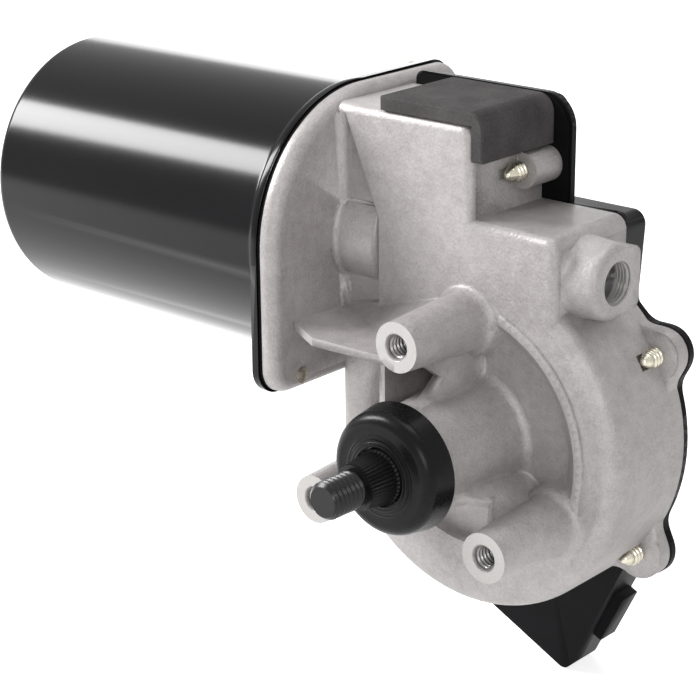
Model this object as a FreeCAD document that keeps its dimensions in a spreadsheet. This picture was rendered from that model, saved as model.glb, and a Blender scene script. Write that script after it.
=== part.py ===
import FreeCAD, Part

import math
import os
import re

import Sketcher

# Sizes are in millimetres and degrees. The origin lies on the output shaft's axis, level with
# the faces of the three mounting bosses. The output shaft points along -Y, the motor can lies
# along -X and +Z is up.
SIZES = (
    # Fits
    ("press_gap", 0.01, "all round a pressed or seated piece"),
    ("running_gap", 0.03, "all round a shaft in its bush"),
    ("moving_gap", 0.3, "between a turning piece and what it passes"),
    ("screw_gap", 0.05, "all round a screw in its hole"),
    # Gear case, front to back
    ("front_face", 22.5, "front plane of the gear case behind the boss faces"),
    ("dish_depth", 3.5, "dished floor behind the front plane"),
    ("floor_wall", 2.5, "wall of the dished floor"),
    ("joint_face", 47.0, "rear joint face of the gear case"),
    ("drum_radius", 38.5, "round part of the gear case"),
    ("drum_side", 36.0, "flat on the can side of the round part"),
    ("drum_round", 3.8, "front shoulder of the round part"),
    ("dish_radius", 28.5, "mouth of the dish"),
    ("dish_floor_radius", 24.0, "foot of the dish's sloping wall"),
    ("dish_fill", 110.0, "angle at the bottom where the dish stays narrow"),
    ("ridge_width", 1.9, "raised rim beside the dish"),
    ("ridge_rise", 0.6, "raised rim in front of the front plane"),
    ("ridge_sweep", 95.0, "angle that the raised rim covers"),
    ("ridge_turn", 73.0, "end of the raised rim above the right side"),
    ("cavity_radius", 34.0, "room for the worm wheel"),
    ("ring_wall", 3.5, "front wall of the case outside the dish"),
    # Tower round the output shaft
    ("tower_tip", 11.5, "radius of the tower at its free end"),
    ("tower_rise", 1.0, "end of the tower in front of the boss faces"),
    ("tower_seat", 3.0, "straight end of the tower under the boot"),
    ("tower_base", 13.5, "radius of the tower above its foot"),
    ("tower_foot", 15.5, "radius of the tower's foot"),
    ("foot_height", 2.0, "height of the flared feet on tower and bosses"),
    ("tower_bore", 8.0, "radius of the bore for the bushes"),
    ("front_bush_start", 3.0, "front bush behind the boss faces"),
    ("front_bush_length", 9.0, "front bush"),
    ("rear_bush_start", 18.0, "rear bush behind the boss faces"),
    ("rear_bush_length", 10.0, "rear bush"),
    # Mounting bosses
    ("boss_circle", 26.2, "radius of the circle of the three mounting bosses"),
    ("boss_tip", 5.33, "boss radius at its face"),
    ("boss_base", 6.4, "boss radius above its foot"),
    ("boss_foot", 8.0, "radius of the boss foot"),
    ("mount_hole", 2.5, "radius of the threaded mounting holes"),
    ("mount_depth", 15.0, "depth of the shallowest threaded mounting hole"),
    ("mount_step", 1.0, "each mounting hole deeper than the one after it"),
    ("mount_chamfer", 0.45, "chamfer at the mouth of a mounting hole"),
    # Webs
    ("web_thick", 3.6, "radial webs from tower to bosses"),
    ("web_edge", 7.8, "front edge of the radial webs behind the boss faces"),
    ("web_dip", 14.0, "bottom of the dip in the web's front edge"),
    ("shelf_low", 20.4, "underside of the shelf web"),
    ("shelf_thick", 1.8, "shelf web"),
    ("shelf_front", 3.0, "front edge of the shelf web behind the boss faces"),
    ("shelf_corner", 24.8, "bend in the shelf web's front edge"),
    ("shelf_side", 7.5, "front edge of the shelf web at the flange plate"),
    ("shelf_bow", 0.8, "bend of the shelf web in front of its edge"),
    ("gusset_front", 2.3, "front point of the gusset behind the boss faces"),
    ("gusset_top", 33.0, "top of the gusset"),
    ("gusset_side", 38.0, "end of the gusset on the can side"),
    ("gusset_point", 0.4, "blunt front point of the gusset"),
    ("rib_place", 11.0, "upright rib left of the output axis"),
    ("rib_thick", 1.5, "upright rib"),
    ("rib_front", 8.5, "front edge of the upright rib"),
    ("rib_foot", 5.0, "lower end of the upright rib below the output axis"),
    # Worm drive
    ("tooth_count", 50, "teeth of the worm wheel"),
    ("wheel_pitch", 32.3, "pitch radius of the worm wheel"),
    ("worm_pitch", 5.4, "pitch radius of the worm"),
    ("tooth_rise", 1.1, "tooth height above the pitch line"),
    ("tooth_fall", 1.3, "tooth depth below the pitch line"),
    ("flank_gap", 0.18, "play at each tooth flank, along the pitch line"),
    ("pressure_angle", 20.0, "slope of the tooth flanks"),
    ("face_width", 8.0, "toothed rim of the wheel"),
    ("wheel_gap", 0.5, "between wheel and case floor"),
    ("worm_turns", 5, "turns of the worm thread"),
    ("tunnel_gap", 0.8, "all round the worm"),
    ("rim_inner", 28.5, "inside of the toothed rim"),
    ("web_front", 32.5, "front of the wheel's web"),
    ("wheel_ribs", 8, "ribs on the front of the wheel's web"),
    ("wheel_rib_thick", 1.6, "ribs of the wheel"),
    ("hub_radius", 9.0, "steel hub in the wheel"),
    ("hub_front", 30.2, "front of the steel hub"),
    ("hub_length", 9.8, "steel hub"),
    ("sleeve_radius", 12.0, "plastic sleeve of the wheel round the hub"),
    ("disc_thick", 0.8, "park position disc"),
    ("disc_radius", 26.0, "park position disc"),
    ("disc_hole", 11.0, "hole in the park position disc"),
    ("disc_notch", 40.0, "angle of the notch in the park position disc"),
    # Output shaft
    ("shaft_radius", 6.0, "output shaft in its bushes"),
    ("shaft_reach", 22.3, "tip of the output shaft in front of the boss faces"),
    ("thread_radius", 4.0, "threaded end of the output shaft"),
    ("thread_length", 8.3, "threaded end of the output shaft"),
    ("thread_chamfer", 0.8, "chamfer at the shaft's tip"),
    ("neck_radius", 3.6, "relief between thread and taper"),
    ("neck_length", 1.0, "relief between thread and taper"),
    ("taper_small", 4.8, "small end of the knurled taper"),
    ("taper_large", 5.9, "large end of the knurled taper"),
    ("taper_length", 7.5, "knurled taper"),
    ("shoulder_length", 0.7, "slope from taper to plain shaft"),
    ("groove_depth", 0.6, "groove for the retaining ring"),
    ("ring_thick", 1.0, "retaining ring"),
    ("ring_radius", 8.2, "retaining ring"),
    ("washer_thick", 1.0, "front washer"),
    ("front_washer_radius", 9.3, "front washer"),
    ("rear_washer_radius", 10.0, "rear washer"),
    ("washer_gap", 0.1, "beside washers and ring along the shaft"),
    # Shaft boot
    ("boot_radius", 13.9, "skirt of the boot"),
    ("boot_front_radius", 13.3, "boot behind its rounded edge"),
    ("boot_seat", 1.8, "rear edge of the boot behind the boss faces"),
    ("boot_reach", 5.2, "front of the boot before the boss faces"),
    ("boot_round", 2.9, "rounded front edge of the boot"),
    ("boot_wall", 1.4, "front wall of the boot"),
    ("boot_pocket", 10.0, "room in the boot for washer and ring"),
    ("lip_width", 1.5, "raised lip round the shaft"),
    ("lip_rise", 0.5, "raised lip in front of the boot"),
    # Upper case
    ("box_side", 35.0, "can side of the upper case, left of the output axis"),
    ("box_right", 0.6, "right side of the upper case"),
    ("box_top", 67.2, "top of the upper case"),
    ("box_round", 3.0, "corners of the upper case"),
    ("edge_round", 2.0, "front edges of the upper case"),
    ("step_right", 22.3, "right side of the stepped part"),
    ("step_top", 47.4, "top of the stepped part"),
    ("valley_depth", 1.9, "sunk strip beside the flange plate"),
    ("valley_width", 9.5, "sunk strip beside the flange plate"),
    ("valley_rim", 1.6, "rim between flange plate and sunk strip"),
    ("valley_tip", 0.4, "upper end of the sunk strip"),
    ("valley_knee", 44.0, "height where the strip starts to narrow"),
    ("bump_radius", 12.2, "round boss over the front motor bearing"),
    ("bump_length", 10.4, "round boss over the front motor bearing"),
    ("collar_rise", 1.4, "bulge of the rim round the bearing boss"),
    ("box_wall", 3.2, "walls of the upper case"),
    ("box_floor", 4.0, "front wall of the upper case's room"),
    ("room_low", 10.0, "bottom of the upper case's room above the motor axis"),
    ("room_right", 2.0, "right end of the upper case's room, left of the output axis"),
    # Thrust boss at the end of the worm
    ("thrust_face", 30.1, "outer face of the thrust boss"),
    ("thrust_root", 8.6, "radius of the thrust boss at the case"),
    ("thrust_tip", 7.8, "radius of the thrust boss at its face"),
    ("thrust_block", 6.6, "half height of the square rear of the thrust boss"),
    ("thrust_back", 7.8, "square rear of the thrust boss behind the motor axis"),
    ("thrust_round", 2.0, "rounded edge of the thrust boss"),
    ("tunnel_end", 16.0, "end of the worm tunnel, right of the output axis"),
    ("end_bush_length", 6.0, "end bush of the armature shaft"),
    ("end_bush_radius", 6.0, "end bush of the armature shaft"),
    ("button_thick", 0.9, "thrust button"),
    ("adjuster_radius", 4.6, "threaded bore for the adjusting screw"),
    ("adjuster_length", 2.2, "adjusting screw"),
    ("slot_width", 1.2, "slot of the adjusting screw"),
    ("slot_depth", 1.2, "slot of the adjusting screw"),
    # Flange between case and can
    ("flange_ledge", 0.5, "round part of the flange plate beyond the can"),
    ("flange_thick", 3.5, "flange plate"),
    ("flange_round", 2.9, "front edge of the flange plate"),
    ("flange_corner", 6.0, "rounding of the flange's square corners"),
    ("flange_lip", 0.5, "can flange proud of the plate"),
    ("flange_screw_y", 23.2, "flange screws from the motor axis, across"),
    ("flange_screw_z", 28.3, "flange screws from the motor axis, up and down"),
    ("can_gasket_thick", 0.8, "gasket under the can's flange"),
    ("gasket_width", 3.4, "width of the can gasket's round part"),
    # Motor can
    ("can_sheet", 1.8, "sheet of the can"),
    ("can_radius", 31.2, "can"),
    ("can_length", 84.2, "can behind its flange"),
    ("can_round", 0.8, "inside edge of the can's closed end"),
    ("cup_radius", 10.5, "bearing cup in the can's end"),
    ("cup_depth", 6.0, "bearing cup in the can's end"),
    ("cup_round", 1.6, "edges of the bearing cup"),
    ("rear_bearing_radius", 8.6, "round rear bearing"),
    ("rear_bearing_width", 9.0, "round rear bearing"),
    ("barrel_drop", 1.1, "rear bearing smaller at its ends than in the middle"),
    ("retainer_radius", 16.0, "spring disc that holds the rear bearing"),
    ("retainer_thick", 0.8, "spring disc that holds the rear bearing"),
    ("front_bearing_radius", 8.0, "front bearing of the armature shaft"),
    ("front_bearing_length", 6.0, "front bearing of the armature shaft"),
    # Armature and magnets
    ("rod_radius", 4.0, "armature shaft"),
    ("magnet_step", 15.9, "magnets behind the can's flange"),
    ("magnet_length", 50.0, "magnets"),
    ("magnet_thick", 5.9, "magnets"),
    ("magnet_span", 110.0, "angle of each magnet"),
    ("clip_thick", 0.8, "magnet clips"),
    ("air_gap", 0.8, "between armature and magnets"),
    ("stack_length", 38.0, "lamination stack"),
    ("slot_count", 12, "winding slots"),
    ("slot_foot", 11.0, "floor radius of a winding slot"),
    ("slot_mouth", 1.6, "opening of a winding slot"),
    ("slot_span", 4.8, "width of a winding slot at its floor"),
    ("slot_flare", 1.7, "winding slot wider on each side at its lips"),
    ("sunk", 0.2, "how far a joined piece reaches into the one that carries it"),
    ("holder_inset", 0.5, "brush holders back from the edge of the plate's hole"),
    ("holder_cap", 0.8, "closed end of a brush holder"),
    ("choke_inset", 3.2, "chokes away from the edge of the plate's hole"),
    ("web_recess", 1.5, "ribs of the worm wheel behind its front face"),
    ("ring_play", 0.05, "play of the rings on the output shaft"),
    ("dome_margin", 1.5, "raised part inside the can side of the cover flange"),
    ("dome_side", 2.6, "raised part inside the right side of the cover flange"),
    ("dome_drop", 2.4, "raised part below the top of the stepped part"),
    ("barrier_margin", 1.5, "connector's cross wall inside its room"),
    ("past", 1.0, "from the end of a cut to the outside of what it cuts"),
    ("tooth_lip", 1.4, "lamination tooth over the slot"),
    ("winding_rise", 8.0, "end winding"),
    ("winding_radius", 20.5, "end winding"),
    ("winding_gap", 0.2, "all round the windings"),
    ("commutator_radius", 10.5, "commutator"),
    ("riser_radius", 12.0, "commutator riser"),
    ("riser_length", 2.0, "commutator riser"),
    ("commutator_length", 11.5, "commutator"),
    ("bar_gap", 0.5, "slits between the commutator's bars"),
    # Brush gear
    ("brush_plate_radius", 28.9, "brush plate"),
    ("brush_plate_hole", 13.0, "hole in the brush plate"),
    ("brush_plate_thick", 2.0, "brush plate"),
    ("brush_post", 3.5, "posts between brush plate and flange plate"),
    ("brush_post_radius", 2.5, "posts between brush plate and flange plate"),
    ("brush_wide", 4.6, "brush across the shaft"),
    ("brush_long", 5.6, "brush along the shaft"),
    ("brush_length", 8.7, "brush from tip to tail"),
    ("holder_wall", 0.5, "brush holder"),
    ("holder_reach", 25.5, "outer end of the brush holders"),
    ("spring_radius", 2.0, "brush spring"),
    ("choke_radius", 2.6, "suppression choke"),
    ("choke_length", 9.0, "suppression choke"),
    ("lead_height", 57.0, "motor leads above the output axis"),
    ("lead_thick", 0.8, "motor leads"),
    ("lead_width", 2.4, "motor leads"),
    ("lead_step", 3.6, "from one motor lead to the next"),
    ("lead_slot_low", 33.0, "front end of the slot for the motor leads"),
    # Gear cover
    ("cover_gasket_thick", 0.5, "gasket under the gear cover"),
    ("gasket_inset", 0.6, "gasket inside the edge of the cover flange"),
    ("cover_flange_thick", 1.5, "flange of the gear cover"),
    ("cover_inset", 0.3, "cover flange inside the round edge of the case"),
    ("cover_depth", 12.2, "back of the gear cover behind the gasket"),
    ("cover_wall", 2.0, "walls of the gear cover"),
    ("dome_radius", 34.5, "raised part of the gear cover"),
    ("dome_round", 2.5, "rear edges of the gear cover"),
    ("cover_right", 7.7, "flange beside the upper case"),
    ("cover_step_right", 21.2, "flange beside the stepped part"),
    ("cover_corner", 7.0, "rounded upper corner of the flange"),
    ("ear_top_x", 1.9, "upper cover screw"),
    ("ear_top_z", 55.3, "upper cover screw"),
    ("ear_top_radius", 3.9, "ear of the upper cover screw"),
    ("ear_right_x", 33.2, "right cover screw"),
    ("ear_right_z", 20.2, "right cover screw"),
    ("ear_right_radius", 5.3, "ear of the right cover screw"),
    ("ear_low_x", 30.4, "lower cover screws"),
    ("ear_low_z", 24.8, "lower cover screws"),
    ("ear_low_radius", 5.9, "ears of the lower cover screws"),
    ("ear_height", 9.0, "ears in front of the joint face"),
    ("ear_lip", 0.2, "cover flange proud of the ears"),
    ("screw_radius", 1.75, "cover and flange screws"),
    ("screw_point", 1.8, "pointed end of a cover screw"),
    ("head_radius", 3.8, "pan heads"),
    ("head_height", 2.5, "pan heads"),
    ("screw_length", 16.5, "cover screws under their heads"),
    ("screw_tip", 0.6, "flange screws beyond the plate"),
    # Circuit board
    ("board_gap", 1.3, "circuit board behind the joint gasket"),
    ("board_thick", 1.6, "circuit board"),
    ("board_radius", 30.0, "round part of the circuit board"),
    ("post_radius", 2.5, "posts that hold the circuit board"),
    ("finger_thick", 0.4, "contact fingers"),
    ("finger_width", 3.0, "contact fingers"),
    ("finger_step", 6.0, "from one contact finger to the next"),
    ("finger_reach", 20.0, "tips of the contact fingers left of the output axis"),
    ("finger_bend", 1.4, "bent tip of a contact finger"),
    ("finger_foot", 4.0, "foot of a contact finger beside its tip"),
    # Connector, in its own turned axes: u to the right, v down
    ("connector_tilt", 25.5, "connector turned from upright"),
    ("connector_left", 5.8, "connector block along u"),
    ("connector_right", 35.8, "connector block along u"),
    ("connector_top", 14.0, "connector block along v"),
    ("connector_mouth", 51.6, "mouth of the connector along v"),
    ("connector_depth", 10.2, "connector block, front to back"),
    ("connector_wall", 2.5, "side walls of the connector"),
    ("connector_skin", 1.2, "front wall of the connector"),
    ("connector_back_skin", 2.0, "rear wall of the connector"),
    ("connector_corner", 2.2, "rounding of the connector's outer corners"),
    ("socket_depth", 12.3, "socket from the mouth"),
    ("barrier_thick", 3.0, "wall behind the socket"),
    ("latch_rise", 2.2, "latch block beside the connector"),
    ("latch_start", 28.0, "latch block along v"),
    ("latch_length", 13.0, "latch block along v"),
    ("blade_count", 5, "connector blades"),
    ("blade_step", 4.0, "from one blade to the next"),
    ("blade_width", 2.8, "connector blade"),
    ("blade_thick", 0.8, "connector blade"),
    ("blade_length", 25.0, "connector blade"),
    ("blade_back", 3.3, "blade tips behind the mouth"),
    # Foam pad on the upper case
    ("pad_thick", 3.0, "foam pad"),
    ("pad_left", 23.5, "left end of the foam pad, left of the output axis"),
    ("pad_flap", 59.8, "lower edge of the foam pad's flap"),
    ("pad_round", 4.0, "outer corner of the foam pad"),
)

# Places and sizes that follow from the ones above, each written once.
LINKS = {
    "dish_floor": "front_face + dish_depth",
    "cavity_floor": "dish_floor + floor_wall",
    "motor_y": "cavity_floor + wheel_gap + face_width / 2",
    "motor_z": "wheel_pitch + worm_pitch",
    "wheel_front": "motor_y - face_width / 2",
    "wheel_back": "motor_y + face_width / 2",
    "wheel_tip": "wheel_pitch + tooth_rise",
    "wheel_root": "wheel_pitch - tooth_fall",
    "worm_tip": "worm_pitch + tooth_rise",
    "worm_root": "worm_pitch - tooth_fall",
    "tunnel_radius": "worm_tip + tunnel_gap",
    "thread_pitch": "2 * pi * wheel_pitch / tooth_count",
    "flange_radius": "can_radius + flange_ledge",
    "cover_radius": "drum_radius - cover_inset",
    "mount_mouth": "mount_hole + mount_chamfer",
    "case_foot": "drum_radius / 3",
    "plate_back": "-(box_side + flange_thick)",
    "can_gasket_back": "plate_back - can_gasket_thick",
    "can_flange_back": "can_gasket_back - can_sheet",
    "can_inner": "can_radius - can_sheet",
    "can_end": "can_flange_back - can_length",
    "cup_end": "can_end - cup_depth",
    "bush_radius": "tower_bore - press_gap",
    "bush_bore": "shaft_radius + running_gap",
    "rod_bore": "rod_radius + running_gap",
    "rod_left": "cup_end + can_sheet + 2 * moving_gap + 1",
    "rod_right": "tunnel_end + end_bush_length + 2 * moving_gap + 0.4",
    "button_start": "rod_right + moving_gap",
    "adjuster_start": "button_start + button_thick",
    "ring_front": "-(tower_rise + moving_gap + washer_thick + washer_gap + ring_thick)",
    "magnet_right": "can_flange_back - magnet_step",
    "magnet_left": "magnet_right - magnet_length",
    "magnet_inner": "can_inner - press_gap - magnet_thick",
    "stack_radius": "magnet_inner - air_gap",
    "stack_right": "(magnet_right + magnet_left + stack_length) / 2",
    "stack_left": "stack_right - stack_length",
    "commutator_left": "stack_right + winding_rise + winding_gap + bar_gap",
    "commutator_right": "commutator_left + commutator_length",
    "brush_plate_right": "plate_back - brush_post",
    "brush_plate_left": "brush_plate_right - brush_plate_thick",
    "brush_middle": "brush_plate_left - holder_wall - press_gap - brush_long / 2",
    "brush_tip": "commutator_radius + moving_gap",
    "cover_front": "joint_face + cover_gasket_thick",
    "cover_flange_back": "cover_front + cover_flange_thick",
    "cover_back": "cover_front + cover_depth",
    "board_front": "cover_front + board_gap",
    "board_back": "board_front + board_thick",
    "shelf_top": "shelf_low + shelf_thick",
    "room_bottom": "motor_z + room_low",
    "room_left": "box_side - past",
    "room_top": "box_top - box_wall",
    "cover_top": "box_top + pad_thick",
    "cover_side": "box_side - 2 * moving_gap",
    "disc_back": "wheel_back + disc_thick",
    "connector_back": "cover_front + connector_depth",
    "socket_top": "connector_mouth - socket_depth",
    "barrier_top": "socket_top - barrier_thick",
    "blade_end": "connector_mouth - blade_back",
}

ALONG = {
    "x": FreeCAD.Rotation(FreeCAD.Vector(0, 1, 0), 90),
    "y": FreeCAD.Rotation(FreeCAD.Vector(1, 0, 0), -90),
    "z": FreeCAD.Rotation(),
}
OUTLINE_PLANE = {"x": "YZ_Plane", "y": "XZ_Plane", "z": "XY_Plane"}
CLOSE = 0.01

doc = FreeCAD.newDocument("wiper_motor")
sheet = doc.addObject("Spreadsheet::Sheet", "size")
for row, (size_name, number, meaning) in enumerate(SIZES, start=1):
    sheet.set("A%d" % row, size_name)
    sheet.set("B%d" % row, str(number))
    sheet.set("C%d" % row, meaning)
    sheet.setAlias("B%d" % row, size_name)
doc.recompute()

size_names = {entry[0] for entry in SIZES}
finished = []


def formula(rule):
    """The sheet's own expression for a rule in plain size names."""

    def spelled(match):
        word = match.group()
        if word in LINKS:
            return "(" + formula(LINKS[word]) + ")"
        return "size." + word if word in size_names else word

    return re.sub(r"[a-z_]{2,}", spelled, str(rule))


def value(rule):
    return float(sheet.evalExpression(formula(rule)))


def bind(item, **rules):
    """Tie properties of an object to size rules."""
    for target, rule in rules.items():
        item.setExpression(target, formula(rule))


def place(item, x="0", y="0", z="0"):
    """Tie an object's base point to size rules."""
    for letter, rule in (("x", x), ("y", y), ("z", z)):
        item.setExpression("Placement.Base." + letter, formula(rule))
    return item


def along(axis, station, across):
    """The point at a station along an axis and two rules across it, as x, y and z rules."""
    first, second = across
    return {"x": (station, first, second), "y": (first, station, second), "z": (first, second, station)}[axis]


def rod(label, axis, radius, start, end, across=("0", "0")):
    """A round bar along an axis from start to end."""
    item = doc.addObject("Part::Cylinder", label)
    item.Placement.Rotation = ALONG[axis]
    bind(item, Radius=radius, Height="(%s) - (%s)" % (end, start))
    return place(item, *along(axis, start, across))


def cone(label, axis, first_radius, last_radius, start, end, across=("0", "0")):
    """A tapered bar along an axis from start to end."""
    item = doc.addObject("Part::Cone", label)
    item.Placement.Rotation = ALONG[axis]
    bind(item, Radius1=first_radius, Radius2=last_radius, Height="(%s) - (%s)" % (end, start))
    return place(item, *along(axis, start, across))


def block(label, x_range, y_range, z_range):
    """A box between pairs of rules."""
    item = doc.addObject("Part::Box", label)
    (left, right), (front, back), (low, high) = x_range, y_range, z_range
    bind(item, Length="(%s) - (%s)" % (right, left))
    bind(item, Width="(%s) - (%s)" % (back, front))
    bind(item, Height="(%s) - (%s)" % (high, low))
    return place(item, left, front, low)


def outline(body, role, corners):
    """A closed sketch of straight sides whose corners are tied to size rules."""
    sketch = body.newObject("Sketcher::SketchObject", body.Name + "_outline")
    origin_plane = next(item for item in body.Origin.OriginFeatures if item.Role == role)
    sketch.AttachmentSupport = [(origin_plane, "")]
    sketch.MapMode = "FlatFace"
    points = [(value(first), value(second)) for first, second in corners]
    total = len(points)
    for index in range(total):
        here = FreeCAD.Vector(*points[index], 0)
        there = FreeCAD.Vector(*points[(index + 1) % total], 0)
        sketch.addGeometry(Part.LineSegment(here, there), False)
    for index in range(total):
        sketch.addConstraint(Sketcher.Constraint("Coincident", index, 2, (index + 1) % total, 1))
    for index in range(total):
        for part, kind in enumerate(("DistanceX", "DistanceY")):
            number = sketch.addConstraint(Sketcher.Constraint(kind, -1, 1, index, 1, points[index][part]))
            sketch.setExpression("Constraints[%d]" % number, formula(corners[index][part]))
    return sketch


def prism(label, axis, corners, start, end):
    """An outline across an axis, padded along it from start to end."""
    body = doc.addObject("PartDesign::Body", label)
    sketch = outline(body, OUTLINE_PLANE[axis], corners)
    pad = body.newObject("PartDesign::Pad", label + "_pad")
    pad.Profile = sketch
    pad.Reversed = axis == "y"
    bind(pad, Length="(%s) - (%s)" % (end, start))
    body.Tip = pad
    place(body, *along(axis, start, ("0", "0")))
    return body


def turned(label, axis, profile, across=("0", "0")):
    """A profile of stations and radii, turned about an axis."""
    body = doc.addObject("PartDesign::Body", label)
    corners = profile if axis == "x" else [(radius, station) for station, radius in profile]
    sketch = outline(body, "XY_Plane", corners)
    turn = body.newObject("PartDesign::Revolution", label + "_turn")
    turn.Profile = sketch
    turn.ReferenceAxis = (sketch, ["H_Axis" if axis == "x" else "V_Axis"])
    turn.Angle = 360
    body.Tip = turn
    place(body, *along(axis, "0", across))
    return body


def tube(label, axis, outer, inner, start, end, across=("0", "0")):
    """A round sleeve, washer or bush along an axis."""
    profile = [(start, inner), (end, inner), (end, outer), (start, outer)]
    return turned(label, axis, profile, across)


def soften(body, radius, test):
    """Round those edges of a body's last feature that pass a test."""
    doc.recompute()
    last = body.Tip
    names = ["Edge%d" % (number + 1) for number, edge in enumerate(last.Shape.Edges) if test(edge)]
    if not names:
        raise ValueError("no edge to round on " + body.Label)
    feature = body.newObject("PartDesign::Fillet", body.Name + "_round")
    feature.Base = (last, names)
    bind(feature, Radius=radius)
    body.Tip = feature
    return body


def corner_edges(axis, *spots):
    """A test for the straight edges along an axis that stand on the spots across it."""
    number = "xyz".index(axis)
    wanted = [(value(first), value(second)) for first, second in spots]

    def test(edge):
        if len(edge.Vertexes) != 2:
            return False
        way = edge.Vertexes[1].Point - edge.Vertexes[0].Point
        if way.Length < CLOSE or abs(abs(way[number]) - way.Length) > CLOSE:
            return False
        middle = edge.CenterOfMass
        spot = [middle[other] for other in range(3) if other != number]
        return any(math.dist(spot, goal) < CLOSE for goal in wanted)

    return test


def ring_edges(axis, *rings):
    """A test for the circles about an axis with the given stations and radii."""
    number = "xyz".index(axis)
    wanted = [(value(station), value(radius)) for station, radius in rings]

    def test(edge):
        if not hasattr(edge.Curve, "Radius"):
            return False
        ring = (edge.Curve.Center[number], edge.Curve.Radius)
        return any(math.dist(ring, goal) < CLOSE for goal in wanted)

    return test


def joined(label, items):
    """One solid of several that touch or overlap."""
    item = doc.addObject("Part::MultiFuse", label)
    item.Shapes = items
    item.Refine = True
    return item


def less(label, base, tools):
    """A solid with others cut away from it."""
    item = doc.addObject("Part::Cut", label)
    item.Base = base
    item.Tool = tools[0] if len(tools) == 1 else joined(label + "_tools", tools)
    item.Refine = True
    return item


def shared(label, first, second):
    """What two solids have in common."""
    item = doc.addObject("Part::Common", label)
    item.Base = first
    item.Tool = second
    return item


def group(label, items):
    """Several separate solids that make one node."""
    item = doc.addObject("Part::Compound", label)
    item.Links = items
    return item


def swung(item, angle):
    """Turn an object about the Y axis through the origin, by a size rule."""
    item.Placement.Rotation = FreeCAD.Rotation(FreeCAD.Vector(0, 1, 0), value(angle))
    item.setExpression("Placement.Rotation.Angle", formula(angle))
    return item


def node(item, label):
    """Keep an object as a finished piece under its own name."""
    item.Label = label
    finished.append(item)
    return item


def spot_on_circle(radius, angle):
    """Rules for the x and z of a point at an angle up from +X."""
    return "(%s) * cos(%s)" % (radius, angle), "(%s) * sin(%s)" % (radius, angle)


BOSS_ANGLES = (90, -30, -150)
EARS = (
    ("ear_top_x", "ear_top_z", "ear_top_radius"),
    ("ear_right_x", "ear_right_z", "ear_right_radius"),
    ("ear_low_x", "-ear_low_z", "ear_low_radius"),
    ("-ear_low_x", "-ear_low_z", "ear_low_radius"),
)
FLANGE_SCREWS = (
    ("motor_y - flange_screw_y", "motor_z - flange_screw_z"),
    ("motor_y + flange_screw_y", "motor_z + flange_screw_z"),
)
MOTOR_AXIS = ("motor_y", "motor_z")


def outer_front_edges(sign, reach, thickness):
    """The front edges of a flange corner on its two outer sides and round its corner."""
    side = 1 if sign == "+" else -1
    front = value(thickness)
    far = value(reach)
    centre = (value("motor_y"), value("motor_z"))

    def test(edge):
        middle = edge.CenterOfMass
        if abs(middle.x - front) > CLOSE:
            return False
        away = ((middle.y - centre[0]) * side, (middle.z - centre[1]) * side)
        return max(away) > far - value("flange_corner") and min(away) > CLOSE

    return test


def flange_outline(label, start, end, grow, front_round=None):
    """The flange shape shared by plate, gasket and can: a circle with two square corners."""
    reach = "(flange_radius + %s)" % grow
    disc = turned(label + "_disc", "x", [(start, "0"), (start, reach), (end, reach), (end, "0")], MOTOR_AXIS)
    if front_round:
        soften(disc, front_round, ring_edges("x", (end, reach)))
    pieces = [disc]
    for sign, side in (("-", "low"), ("+", "high")):
        far_y = "motor_y %s %s" % (sign, reach)
        far_z = "motor_z %s %s" % (sign, reach)
        corners = [(far_y, far_z), ("motor_y", far_z), MOTOR_AXIS, (far_y, "motor_z")]
        corner = prism(label + "_" + side, "x", corners, start, end)
        soften(corner, "flange_corner", corner_edges("x", (far_y, far_z)))
        if front_round:
            soften(corner, front_round, outer_front_edges(sign, reach, "(%s) - (%s)" % (end, start)))
        pieces.append(corner)
    return pieces


def screw_holes_in_flange(label, start, end):
    return [
        rod("%s_%d" % (label, number), "x", "screw_radius + screw_gap", start, end, spot)
        for number, spot in enumerate(FLANGE_SCREWS)
    ]


def screw_holes_in_ears(label, start, end):
    return [
        rod("%s_%d" % (label, number), "y", "screw_radius + screw_gap", start, end, (x, z))
        for number, (x, z, _) in enumerate(EARS)
    ]


def case_shell():
    """Drum, upper case, stepped part and flange plate, before anything is hollowed."""
    drum = turned(
        "drum",
        "y",
        [
            ("front_face", "0"),
            ("front_face", "drum_radius"),
            ("joint_face", "drum_radius"),
            ("joint_face", "0"),
        ],
    )
    soften(drum, "drum_round", ring_edges("y", ("front_face", "drum_radius")))
    kept = prism(
        "drum_kept",
        "y",
        [
            ("-drum_side", "-2 * drum_radius"),
            ("2 * drum_radius", "-2 * drum_radius"),
            ("2 * drum_radius", "2 * drum_radius"),
            ("-drum_side", "2 * drum_radius"),
        ],
        "front_face",
        "joint_face",
    )
    soften(kept, "drum_round", front_edge_test("x", "-drum_side"))
    clipped = shared("drum_clipped", drum, kept)
    upper = prism(
        "upper_case",
        "y",
        [
            ("-box_side", "case_foot"),
            ("step_right", "case_foot"),
            ("step_right", "step_top"),
            ("box_right", "step_top"),
            ("box_right", "box_top"),
            ("-box_side", "box_top"),
        ],
        "front_face",
        "joint_face",
    )
    soften(upper, "box_round", corner_edges("y", ("step_right", "step_top"), ("box_right", "box_top")))
    soften(upper, "edge_round", upper_front_edges)
    plate = flange_outline("plate", "plate_back", "-box_side", "0", "flange_round")
    return [clipped, upper] + plate


def front_edge_test(axis, rule):
    """A test for edges in the front plane of a body that lie on one side of it."""
    number = "xyz".index(axis)
    side = value(rule)

    def test(edge):
        middle = edge.CenterOfMass
        return abs(middle.y) < CLOSE and abs(middle[number] - side) < CLOSE

    return test


def upper_front_edges(edge):
    """The front edges of the upper case, without its foot and the side at the flange plate."""
    middle = edge.CenterOfMass
    inside = middle.x > -value("box_side") + CLOSE and middle.z > value("case_foot") + CLOSE
    return abs(middle.y) < CLOSE and inside


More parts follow.
